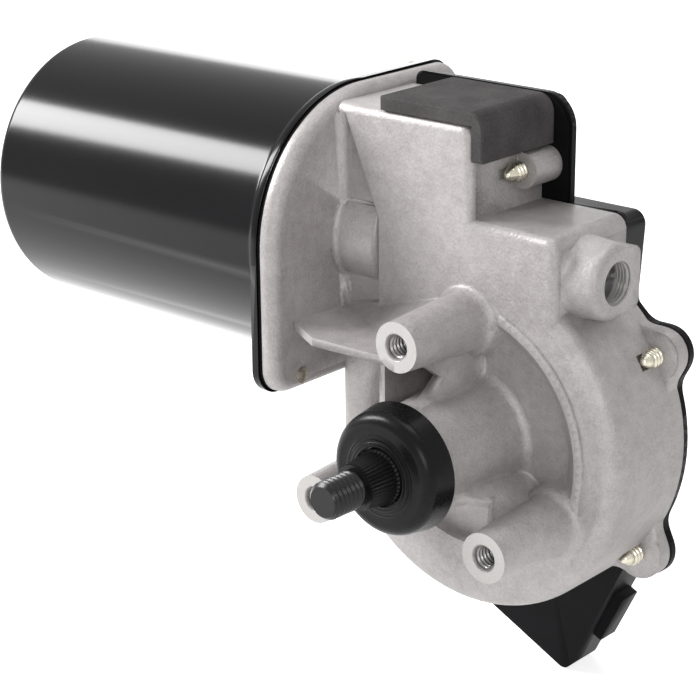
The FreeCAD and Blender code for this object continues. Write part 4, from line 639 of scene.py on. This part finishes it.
def tidied(mesh: bpy.types.Mesh, smooth_degrees: float) -> bpy.types.Mesh:
    """Merge what coincides, turn the faces outwards and smooth the round stretches.

    Args:
        mesh: the mesh, which is changed.
        smooth_degrees: edges that bend less than this look round.

    Returns:
        The same mesh.
    """
    work = bmesh.new()
    work.from_mesh(mesh)
    bmesh.ops.remove_doubles(work, verts=work.verts, dist=MERGE_MM * MM)
    bmesh.ops.dissolve_degenerate(work, edges=work.edges, dist=SLIVER_MM * MM)
    bmesh.ops.recalc_face_normals(work, faces=work.faces)
    work.to_mesh(mesh)
    work.free()
    mesh.shade_smooth()
    mesh.set_sharp_from_angle(angle=math.radians(smooth_degrees))
    mesh.update()
    return mesh


def turned_points(
    way: Along, centre: tuple[float, float], along: np.ndarray, radius: np.ndarray
) -> np.ndarray:
    """Points round an axis: the centre plus the radius times the cosine and sine of the turn.

    Args:
        way: the axis.
        centre: where the axis crosses the other two directions, in millimetres.
        along: places on the axis, one for each row.
        radius: rows by columns, the distance from the axis at each of the even turns.

    Returns:
        Rows by columns by 3.
    """
    turns = np.linspace(0.0, 2.0 * math.pi, radius.shape[1], endpoint=False)
    points = np.empty((*radius.shape, 3))
    first, second, third = way.value
    points[..., first] = centre[0] + radius * np.cos(turns)
    points[..., second] = centre[1] + radius * np.sin(turns)
    points[..., third] = along[:, None]
    return points


@dataclass(frozen=True)
class ScrewThread:
    """The ridge of a screw thread, as a band that lies on a rod or in a bore."""

    name: str
    way: Along
    centre: tuple[float, float]
    start: float
    end: float
    root: float
    crest: float
    pitch: float
    columns: int = 72
    steps: int = 12
    fewest_rows: int = 8
    valley: float = 0.15
    flanks: float = 0.7
    run_out: float = 1.4
    foot: float = 0.3
    smooth_degrees: float = 60.0

    def band(self) -> np.ndarray:
        """Radius = root plus the ridge, a wave of the turn and the place, which runs out at both ends.

        Returns:
            The grid of points, closed behind the root by a plain band.
        """
        rows = max(self.fewest_rows, int((self.end - self.start) / self.pitch * self.steps))
        along = np.linspace(self.start, self.end, rows)
        turns = np.arange(self.columns) / self.columns
        hand = 1.0 if self.way is Along.Y else -1.0
        phase = along[:, None] / self.pitch + hand * turns[None, :]
        ridge = np.clip((np.abs(2.0 * (phase % 1.0) - 1.0) - self.valley) / self.flanks, 0.0, 1.0)
        ends = np.minimum(along - self.start, self.end - along)
        fade = np.clip(ends / self.pitch * self.run_out, 0.0, 1.0)
        radius = self.root + (self.crest - self.root) * ridge * fade[:, None]
        back = np.full((2, self.columns), self.root - self.foot * (self.crest - self.root))
        places = np.concatenate([along, [self.end, self.start]])
        return turned_points(self.way, self.centre, places, np.concatenate([radius, back]))

    def build(self, slot: str, finish: Finish) -> bpy.types.Object:
        """Make the thread as a piece of the housing.

        Args:
            slot: the record's material slot.
            finish: what it is made of.

        Returns:
            The piece.
        """
        mesh = closed_mesh(self.name, self.band(), self.smooth_degrees)
        return Shop.piece(mesh, Body.HOUSING, slot, finish)


@dataclass(frozen=True)
class EarBlend:
    """A stretch of rim that runs in one hollow curve from the round case round an ear and back."""

    name: str
    ear: tuple[float, float, float]
    proud: float
    front: float
    back: float
    soft: float
    round_radius: float = 38.2
    hollow: float = 4.5
    inner: float = 37.0
    outer: float = 48.0
    samples: int = 1200
    reach_degrees: float = 21.0
    rows: int = 90
    smooth_degrees: float = 50.0

    def outline(self, turns: np.ndarray, less: float) -> np.ndarray:
        """The radius at each turn where the softened union of the round case and the ear ends.

        Args:
            turns: turns about the shaft, in radians.
            less: how far inside the outline, in millimetres.

        Returns:
            The radius for each turn.
        """
        x, z, size = self.ear
        away = np.linspace(self.inner, self.outer, self.samples)[None, :]
        to_round = away - self.round_radius
        across = away * np.cos(turns)[:, None] - x
        up = away * np.sin(turns)[:, None] - z
        to_ear = np.hypot(across, up) - size - self.proud
        share = np.clip(0.5 + 0.5 * (to_ear - to_round) / self.hollow, 0.0, 1.0)
        depth = to_ear * (1.0 - share) + to_round * share - self.hollow * share * (1.0 - share)
        return away[0, np.argmax(depth > -less, axis=1)]

    def build(self, slot: str, finish: Finish) -> bpy.types.Object:
        """Make the stretch as a piece of the housing.

        Args:
            slot: the record's material slot.
            finish: what it is made of.

        Returns:
            The piece.
        """
        middle = math.atan2(self.ear[1], self.ear[0])
        half = math.radians(self.reach_degrees)
        turns = np.linspace(middle - half, middle + half, self.rows)
        full = self.outline(turns, 0.0)
        drawn_in = self.outline(turns, self.soft)
        inside = np.full_like(full, self.inner)
        radius = np.stack([inside, drawn_in, full, full, inside], axis=1)
        place = np.array([self.front, self.front, self.front + self.soft, self.back, self.back])
        points = np.empty((self.rows, len(place), 3))
        points[..., 0] = radius * np.cos(turns)[:, None]
        points[..., 1] = place[None, :]
        points[..., 2] = radius * np.sin(turns)[:, None]
        mesh = closed_mesh(self.name, points, self.smooth_degrees, capped=True)
        return Shop.piece(mesh, Body.HOUSING, slot, finish)


@dataclass(frozen=True)
class ShorterEars:
    """The two right ears of the case, and the ends of their screws, start further back."""

    margin: float = 0.4
    front_after: float = 37.0
    front_before: float = 42.0
    hole_radius: float = 2.2
    hole_after: float = 31.0
    screw_radius: float = 3.0
    screw_before: float = 40.0

    def case(self, points: np.ndarray) -> np.ndarray:
        """The ears' fronts and the ends of their holes: y grows by the shift near an ear's axis.

        Args:
            points: places in millimetres.

        Returns:
            The moved places.
        """
        moved = points.copy()
        y = points[:, 1]
        for x, z, radius in LOW_EARS:
            away = np.hypot(points[:, 0] - x, points[:, 2] - z)
            front = (away < radius + self.margin) & (y > self.front_after) & (y < self.front_before)
            hole = (away < self.hole_radius) & (y > self.hole_after) & (y <= self.front_after)
            moved[front | hole, 1] += EAR_SHIFT
        return moved

    def screws(self, points: np.ndarray) -> np.ndarray:
        """The front ends of the same ears' screws: y grows by the shift.

        Args:
            points: places in millimetres.

        Returns:
            The moved places.
        """
        moved = points.copy()
        for x, z, _ in LOW_EARS:
            away = np.hypot(points[:, 0] - x, points[:, 2] - z)
            moved[(away < self.screw_radius) & (points[:, 1] < self.screw_before), 1] += EAR_SHIFT
        return moved


@dataclass(frozen=True)
class SlimmerDome:
    """The cover's round part behind its rim is drawn in on the right."""

    depth: float = 5.0
    inner: float = 27.0
    inner_ramp: float = 5.0
    outer: float = 36.0
    rim_back: float = 49.2
    low_turn: float = -46.0
    low_ramp: float = 10.0
    high_turn: float = 60.0
    high_ramp: float = 12.0

    def move(self, points: np.ndarray) -> np.ndarray:
        """The radius falls by the depth, in ramps of the radius and of the turn.

        Args:
            points: places in millimetres.

        Returns:
            The moved places.
        """
        away = np.hypot(points[:, 0], points[:, 2])
        turn = np.degrees(np.arctan2(points[:, 2], points[:, 0]))
        wide = np.clip((away - self.inner) / self.inner_ramp, 0.0, 1.0)
        low = np.clip((turn - self.low_turn) / self.low_ramp, 0.0, 1.0)
        high = np.clip((self.high_turn - turn) / self.high_ramp, 0.0, 1.0)
        behind = (points[:, 1] > self.rim_back) & (away < self.outer)
        fall = np.where(behind, self.depth * wide * (low * high), 0.0)
        share = 1.0 - fall / np.maximum(away, 1.0)
        moved = points.copy()
        moved[:, 0] *= share
        moved[:, 2] *= share
        return moved


@dataclass(frozen=True)
class SunkRim:
    """The round rim of the can's flange gives way to the finer one that is drawn round it."""

    radius: float = 32.2
    depth: float = 0.12
    margin: float = 0.02

    def move(self, points: np.ndarray) -> np.ndarray:
        """Points at the rim's radius come nearer to the motor's axis by the depth.

        Args:
            points: places in millimetres.

        Returns:
            The moved places.
        """
        centre = np.array(MOTOR_AXIS)
        across = points[:, 1:] - centre
        away = np.hypot(across[:, 0], across[:, 1])
        share = np.where(np.abs(away - self.radius) < self.margin, 1.0 - self.depth / self.radius, 1.0)
        moved = points.copy()
        moved[:, 1:] = centre + across * share[:, None]
        return moved


CORRECTIONS: dict[str, Callable[[np.ndarray], np.ndarray]] = {
    "motor_can": SunkRim().move,
    "gear_housing": ShorterEars().case,
    "cover_screws": ShorterEars().screws,
    "gear_cover": SlimmerDome().move,
}


@dataclass
class Group:
    """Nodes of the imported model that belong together, with the finish of each."""

    finishes: dict[str, Finish] = field(default_factory=dict)
    flat_weight: int = 90

    def build(self) -> None:
        """Dress the nodes and add the fine parts."""
        for node, finish in self.finishes.items():
            Shop.dress(node, finish)
        self.add_parts()

    def add_parts(self) -> None:
        """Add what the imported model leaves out. A plain group adds nothing."""

    def smooth_copy(self, node: str, slot: str) -> bpy.types.Object:
        """A corrected copy of one of the housing's nodes, with round stretches that look round.

        Args:
            node: the node that the copy stands for.
            slot: the record's material slot.

        Returns:
            The piece.
        """
        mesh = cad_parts[node].data.copy()
        mesh.name = node + "_smooth"
        self.correct(node, mesh)
        made = Shop.piece(tidied(mesh, SMOOTH_DEGREES), Body.HOUSING, slot, self.finishes[node])
        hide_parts(node)
        even = made.modifiers.new("even_shading", "WEIGHTED_NORMAL")
        even.mode = "FACE_AREA_WITH_ANGLE"
        even.weight = self.flat_weight
        even.keep_sharp = True
        return made

    def correct(self, node: str, mesh: bpy.types.Mesh) -> None:
        """Move points of a copy to where the real piece has them.

        Args:
            node: the node that was copied.
            mesh: its copy, which is changed.
        """
        move = CORRECTIONS.get(node)
        if move is None:
            return
        points = np.empty(len(mesh.vertices) * 3, dtype=np.float32)
        mesh.vertices.foreach_get("co", points)
        moved = move(points.reshape(-1, 3) / MM) * MM
        mesh.vertices.foreach_set("co", moved.astype(np.float32).ravel())


@dataclass
class GearCase(Group):
    """The cast case with its bosses, boot, foam pad and adjusting screw."""

    finishes: dict[str, Finish] = field(default_factory=lambda: {
        "gear_housing": CAST,
        "shaft_boot": BOOT,
        "foam_pad": FOAM,
        "adjusting_screw": STEEL,
        "end_bush": BRONZE,
        "thrust_button": STEEL,
        "front_bearing": BRONZE,
        "output_bush_front": BRONZE,
        "output_bush_rear": BRONZE,
    })
    bore_radius: float = 2.5
    bore_crest: float = 2.12
    bore_pitch: float = 1.0
    bore_ends: tuple[float, float] = (0.5, 13.5)
    adjuster_bore: float = 4.6
    adjuster_crest: float = 4.2
    adjuster_pitch: float = 0.75
    adjuster_play: float = 0.1
    thrust_face: float = 30.1
    pad_bevel: float = 0.45
    ear_proud: float = 0.04
    ear_soft: float = 0.5
    ear_front: float = 43.4
    joint_face: float = 46.98

    def add_parts(self) -> None:
        """Threads in the bosses and the thrust boss, hollow curves at two ears, soft edges on the pad."""
        for number, centre in enumerate(boss_centres()):
            thread = ScrewThread("boss_thread_%d" % (number + 1), Along.Y, centre, *self.bore_ends,
                                 self.bore_radius, self.bore_crest, self.bore_pitch)
            thread.build("cast_aluminium", CUT_THREAD)
        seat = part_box("adjusting_screw")[1].x / MM
        ends = (seat + self.adjuster_play, self.thrust_face - self.adjuster_play)
        thread = ScrewThread("thrust_thread", Along.X, MOTOR_AXIS, *ends,
                             self.adjuster_bore, self.adjuster_crest, self.adjuster_pitch)
        thread.build("cast_aluminium", CUT_THREAD)
        for number, ear in enumerate(LOW_EARS):
            blend = EarBlend("case_ear_%d" % (number + 1), ear, self.ear_proud, self.ear_front,
                             self.joint_face, self.ear_soft)
            blend.build("cast_aluminium", CAST)
        self.smooth_copy("gear_housing", "cast_aluminium")
        self.smooth_copy("shaft_boot", "boot_rubber")
        pad = self.smooth_copy("foam_pad", "foam")
        soft = pad.modifiers.new("soft_edge", "BEVEL")
        soft.width = self.pad_bevel * MM
        soft.segments = 2
        soft.limit_method = "ANGLE"


@dataclass
class Motor(Group):
    """The painted can with its magnets, rear bearing and brush gear."""

    finishes: dict[str, Finish] = field(default_factory=lambda: {
        "motor_can": PAINT,
        "can_gasket": SEAL,
        "magnet_front": FERRITE,
        "magnet_back": FERRITE,
        "magnet_clips": SPRING,
        "rear_bearing": BRONZE,
        "rear_bearing_retainer": SPRING,
        "brush_plate": PHENOLIC,
        "brush_common": CARBON,
        "brush_low_speed": CARBON,
        "brush_high_speed": CARBON,
        "brush_holders": TIN,
        "brush_springs": SPRING,
        "suppression_chokes": FERRITE,
        "thermal_breaker": TIN,
        "motor_leads": TIN,
    })
    sheet: float = 1.8
    can_radius: float = 31.2
    skin: float = 0.01
    lap: float = 0.02
    flare_rise: float = 0.75
    flare_length: float = 1.5
    flare_reach: float = 0.98
    flare_rows: int = 9
    inner_radius: float = 30.9
    rim_radius: float = 32.2
    rim_round: float = 0.35
    rim_rows: int = 5
    columns: int = 256
    smooth_degrees: float = 50.0

    def add_parts(self) -> None:
        """A can that looks drawn in one piece, with a hollow curve and a rounded rim at its flange.

        The curve's radius grows as a quarter round does, and the rim has a quarter round at each edge.
        """
        self.smooth_copy("motor_can", "can_paint")
        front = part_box("motor_can")[1].x / MM
        behind = front - self.sheet
        share = np.linspace(0.0, 1.0, self.flare_rows)
        rise = self.flare_rise * (1.0 - np.sqrt(1.0 - (share * self.flare_reach) ** 2))
        along = behind - self.lap + self.flare_length * (share - 1.0)
        quarter = np.linspace(0.0, 0.5 * math.pi, self.rim_rows)
        inwards = self.rim_round * (1.0 - np.cos(quarter))
        edge = self.rim_radius - self.rim_round * (1.0 - np.sin(quarter))
        outside = [self.can_radius + self.skin + rise, edge, edge[::-1]]
        radius = np.concatenate([*outside, [self.inner_radius, self.inner_radius]])
        radii = np.repeat(radius[:, None], self.columns, axis=1)
        places = np.concatenate([along, behind + inwards, front - inwards[::-1], [front, along[0]]])
        points = turned_points(Along.X, MOTOR_AXIS, places, radii)
        flare = closed_mesh("can_flare", points, self.smooth_degrees)
        Shop.piece(flare, Body.HOUSING, "can_paint", PAINT)


@dataclass
class Armature(Group):
    """What turns inside the can."""

    finishes: dict[str, Finish] = field(default_factory=lambda: {
        "armature_shaft": STEEL,
        "lamination_stack": LAMINATION,
        "armature_windings": COPPER,
        "commutator": COPPER,
    })


@dataclass
class OutputDrive(Group):
    """The worm wheel and the output shaft, whose end has a thread and a knurled taper."""

    finishes: dict[str, Finish] = field(default_factory=lambda: {
        "output_shaft": OXIDE,
        "wheel_hub": STEEL,
        "worm_wheel": NYLON,
        "park_disc": TIN,
        "retaining_ring": SPRING,
        "front_washer": SPRING,
        "rear_washer": SPRING,
    })
    shaft_radius: float = 6.0
    thread_radius: float = 4.0
    thread_length: float = 8.3
    thread_depth: float = 0.5
    thread_pitch: float = 1.25
    tip_chamfer: float = 0.8
    neck_radius: float = 3.6
    neck_length: float = 1.0
    taper_small: float = 4.8
    taper_large: float = 5.9
    taper_length: float = 7.5
    knurl_count: int = 40
    knurl_depth: float = 0.42
    shoulder_length: float = 0.7
    ring_front: float = -3.4
    ring_width: float = 1.0
    groove_depth: float = 0.6
    end_chamfer: float = 0.5
    valley: float = 0.85
    flanks: float = 0.7
    thread_rows: int = 100
    taper_rows: int = 26
    knurl_run_out: float = 12.0
    columns: int = 240
    smooth_degrees: float = 45.0

    def shaft_rows(self) -> tuple[np.ndarray, np.ndarray]:
        """The shaft's surface: places along it, and the radius there at each turn.

        The thread's radius falls by its depth where the helix has its valley, the taper's radius falls by
        the knurl's depth between its teeth, and the rest is plain.

        Returns:
            The places of the rows, and rows by columns of radii.
        """
        low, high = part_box("output_shaft")
        tip, rear = low.y / MM, high.y / MM
        turns = np.arange(self.columns) / self.columns
        neck = tip + self.thread_length
        thread = np.linspace(tip, neck, self.thread_rows)
        phase = thread[:, None] / self.thread_pitch + turns[None, :]
        valley = np.clip((self.valley - np.abs(2.0 * (phase % 1.0) - 1.0)) / self.flanks, 0.0, 1.0)
        cut = self.thread_radius - self.thread_depth * valley
        slope = self.thread_radius - self.tip_chamfer + (thread - tip)
        cut = np.minimum(cut, slope[:, None])
        taper_start = neck + self.neck_length
        taper = np.linspace(taper_start, taper_start + self.taper_length, self.taper_rows)
        share = (taper - taper_start) / self.taper_length
        cone = self.taper_small + (self.taper_large - self.taper_small) * share
        fade = np.clip(np.minimum(share, 1.0 - share) * self.knurl_run_out, 0.0, 1.0)
        gap = 1.0 - np.abs(2.0 * ((turns * self.knurl_count) % 1.0) - 1.0)
        knurl = cone[:, None] - self.knurl_depth * fade[:, None] * gap[None, :]
        shoulder = taper[-1] + self.shoulder_length
        floor = self.shaft_radius - self.groove_depth
        ends = np.array([
            (shoulder, self.shaft_radius),
            (self.ring_front, self.shaft_radius),
            (self.ring_front, floor),
            (self.ring_front + self.ring_width, floor),
            (self.ring_front + self.ring_width, self.shaft_radius),
            (rear - self.end_chamfer, self.shaft_radius),
            (rear, self.shaft_radius - self.end_chamfer),
            (rear, 0.0),
            (tip, 0.0),
        ])
        necked = np.full((2, self.columns), self.neck_radius)
        rest = np.repeat(ends[:, 1:], self.columns, axis=1)
        places = np.concatenate([thread, [neck, taper_start], taper, ends[:, 0]])
        return places, np.concatenate([cut, necked, knurl, rest])

    def add_parts(self) -> None:
        """The output shaft with its thread and knurl."""
        places, radii = self.shaft_rows()
        points = turned_points(Along.Y, (0.0, 0.0), places, radii)
        mesh = closed_mesh("knurled_shaft", points, self.smooth_degrees)
        shaft = Shop.piece(mesh, Body.OUTPUT, "oxide_steel", OXIDE)
        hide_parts("output_shaft")


@dataclass
class RearCover(Group):
    """The moulded cover with its circuit board, contacts and connector."""

    finishes: dict[str, Finish] = field(default_factory=lambda: {
        "gear_cover": PLASTIC,
        "cover_gasket": SEAL,
        "circuit_board": BOARD,
        "contact_fingers": TIN,
        "connector_terminals": TIN,
    })
    rim_proud: float = 0.18
    rim_soft: float = 0.15
    rim_front: float = 47.02
    rim_back: float = 49.02

    def add_parts(self) -> None:
        """A cover that looks moulded in one piece, with its rim drawn round the ears in hollow curves."""
        self.smooth_copy("gear_cover", "black_plastic")
        for number, ear in enumerate(LOW_EARS):
            rim = EarBlend("cover_ear_%d" % (number + 1), ear, self.rim_proud, self.rim_front,
                           self.rim_back, self.rim_soft)
            rim.build("black_plastic", PLASTIC)


@dataclass
class Fasteners(Group):
    """The screws of cover and flange, with threads where they show."""

    finishes: dict[str, Finish] = field(default_factory=lambda: {
        "cover_screws": ZINC,
        "flange_screws": ZINC,
    })
    ears: tuple[tuple[float, float, float], ...] = (
        (1.9, 55.3, 0.0),
        *((x, z, EAR_SHIFT) for x, z, _ in LOW_EARS),
        (-30.4, -24.8, 0.0),
    )
    ear_front: float = 38.0
    root: float = 1.75
    crest: float = 2.15
    pitch: float = 1.1
    point: float = 1.8
    columns: int = 48
    steps: int = 10

    def add_parts(self) -> None:
        """A thread on the end of each cover screw that stands out in front of its ear."""
        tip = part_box("cover_screws")[0].y / MM
        for number, (x, z, shift) in enumerate(self.ears):
            ends = (tip + self.point + shift, self.ear_front + shift)
            thread = ScrewThread("screw_thread_%d" % (number + 1), Along.Y, (x, z), *ends,
                                 self.root, self.crest, self.pitch, self.columns, self.steps)
            thread.build("zinc_steel", ZINC)
        self.smooth_copy("cover_screws", "zinc_steel")


@dataclass(frozen=True)
class Softbox:
    """One rectangular studio lamp that looks at the part."""

    name: str
    way: tuple[float, float, float]
    distance: float
    width: float
    height: float
    power: float
    lengthwise: tuple[float, float, float] = (0.0, 0.0, 1.0)

    def build(self, target: Vector) -> bpy.types.Object:
        """Stand the lamp off from the target and turn it there.

        Args:
            target: the point that it looks at.

        Returns:
            The lamp.
        """
        light = bpy.data.lights.new(self.name, "AREA")
        light.shape = "RECTANGLE"
        light.size = self.width
        light.size_y = self.height
        light.energy = self.power
        lamp = bpy.data.objects.new(self.name, light)
        bpy.context.collection.objects.link(lamp)
        way = Vector(self.way).normalized()
        lamp.location = target + way * self.distance
        along = Vector(self.lengthwise)
        along = (along - way * along.dot(way)).normalized()
        turned = Matrix((along.cross(way), along, way)).transposed()
        lamp.rotation_mode = "QUATERNION"
        lamp.rotation_quaternion = turned.to_quaternion()
        return lamp


@dataclass(frozen=True)
class Studio:
    """White surroundings, softboxes, floor and the camera of the picture."""

    azimuth: float = 41.7056
    elevation: float = 19.4427
    roll: float = -0.5308
    eye: tuple[float, float, float] = (0.254797, -0.299694, 0.164638)
    focal_px: float = 2090.03
    picture_px: float = 700.0
    sensor_mm: float = 36.0
    looking: tuple[str, str, str] = ("Is Camera Ray", "Is Glossy Ray", "Is Transmission Ray")
    near_clip: float = 0.01
    far_clip: float = 20.0
    floor_reach: float = 4.0
    floor_gap: float = 0.0005
    floor_colour: tuple[float, float, float] = (0.80, 0.80, 0.80)
    floor_seen: float = 0.72
    floor_plain: float = 0.2
    ambient: float = 0.27
    boxes: tuple[Softbox, ...] = (
        Softbox("streak_box", (-0.706, -0.432, 0.561), 0.857, 0.22, 0.46, 10.5, (-0.885, 0.11, -0.45)),
        Softbox("top_box", (0.1, 0.2, 0.97), 0.9, 0.5, 0.5, 2.4),
        Softbox("fill_box", (0.66, -0.66, 0.36), 1.1, 0.34, 0.34, 3.2),
        Softbox("rim_box", (-0.70, 0.70, 0.15), 0.9, 0.5, 0.4, 1.6),
    )

    def looked_at(self, graph: Graph) -> Signal:
        """Tell the rays that look at something from those that only carry light to it.

        Args:
            graph: the graph that asks.

        Returns:
            1 for camera, reflected and transmitted rays, 0 for the others.
        """
        path = graph.node("ShaderNodeLightPath", {}, {})
        looks = [Signal(graph, path.outputs[name]) for name in self.looking]
        return looks[0].highest(looks[1]).highest(looks[2])

    def world(self) -> None:
        """White where the camera or a reflection looks, a plain level of light elsewhere."""
        graph = Graph(bpy.data.worlds.new("studio"))
        bpy.context.scene.world = graph.owner
        levels = {"Value": self.looked_at(graph), "To Min": self.ambient, "To Max": 1.0}
        strength = graph.node("ShaderNodeMapRange", {}, levels).outputs[0]
        light = {"Color": (*WHITE, 1.0), "Strength": strength}
        background = graph.node("ShaderNodeBackground", {}, light)
        graph.node("ShaderNodeOutputWorld", {}, {"Surface": background.outputs[0]})

    def camera(self) -> None:
        """Place the camera where the picture was taken from."""
        turn, tilt, roll = (math.radians(part) for part in (self.azimuth, self.elevation, self.roll))
        back = Vector((math.sin(turn) * math.cos(tilt), -math.cos(turn) * math.cos(tilt), math.sin(tilt)))
        right = Vector((math.cos(turn), math.sin(turn), 0.0))
        up = back.cross(right)
        across = right * math.cos(roll) + up * math.sin(roll)
        above = up * math.cos(roll) - right * math.sin(roll)
        data = bpy.data.cameras.new("camera")
        data.sensor_width = self.sensor_mm
        data.lens = self.focal_px / self.picture_px * self.sensor_mm
        data.clip_start = self.near_clip
        data.clip_end = self.far_clip
        camera = bpy.data.objects.new("camera", data)
        bpy.context.collection.objects.link(camera)
        turned = Matrix((across, above, back)).transposed().to_4x4()
        camera.matrix_world = Matrix.Translation(Vector(self.eye)) @ turned
        bpy.context.scene.camera = camera

    def floor(self, level: float) -> None:
        """Lay a pale floor that stays white for the camera and keeps a soft shadow.

        Args:
            level: the floor's height.
        """
        reach = self.floor_reach
        mesh = bpy.data.meshes.new("floor")
        signs = ((-1, -1), (1, -1), (1, 1), (-1, 1))
        mesh.from_pydata([(reach * x, reach * y, level) for x, y in signs], [], [(0, 1, 2, 3)])
        floor = bpy.data.objects.new("floor", mesh)
        bpy.context.collection.objects.link(floor)
        graph = Graph(bpy.data.materials.new("white_floor"))
        seen = self.looked_at(graph)
        mesh.materials.append(graph.surface(
            Base_Color=self.floor_colour,
            Roughness=0.9,
            Specular_IOR_Level=0.0,
            Emission_Color=WHITE,
            Emission_Strength=seen * (self.floor_seen - self.floor_plain) + self.floor_plain,
        ))
        floor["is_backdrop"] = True

    def build(self) -> None:
        """Build the studio round the part."""
        low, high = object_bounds()
        centre = (low + high) / 2
        self.world()
        self.camera()
        self.floor(low.z - self.floor_gap)
        for box in self.boxes:
            box.build(centre)
        bpy.context.scene.view_settings.view_transform = "Standard"


def main() -> None:
    """Build the looks of the part in order."""
    logging.basicConfig(level=logging.INFO)
    for assembly in (GearCase(), Motor(), Armature(), OutputDrive(), RearCover(), Fasteners()):
        assembly.build()
    Studio().build()


if __name__ == "__main__":
    main()
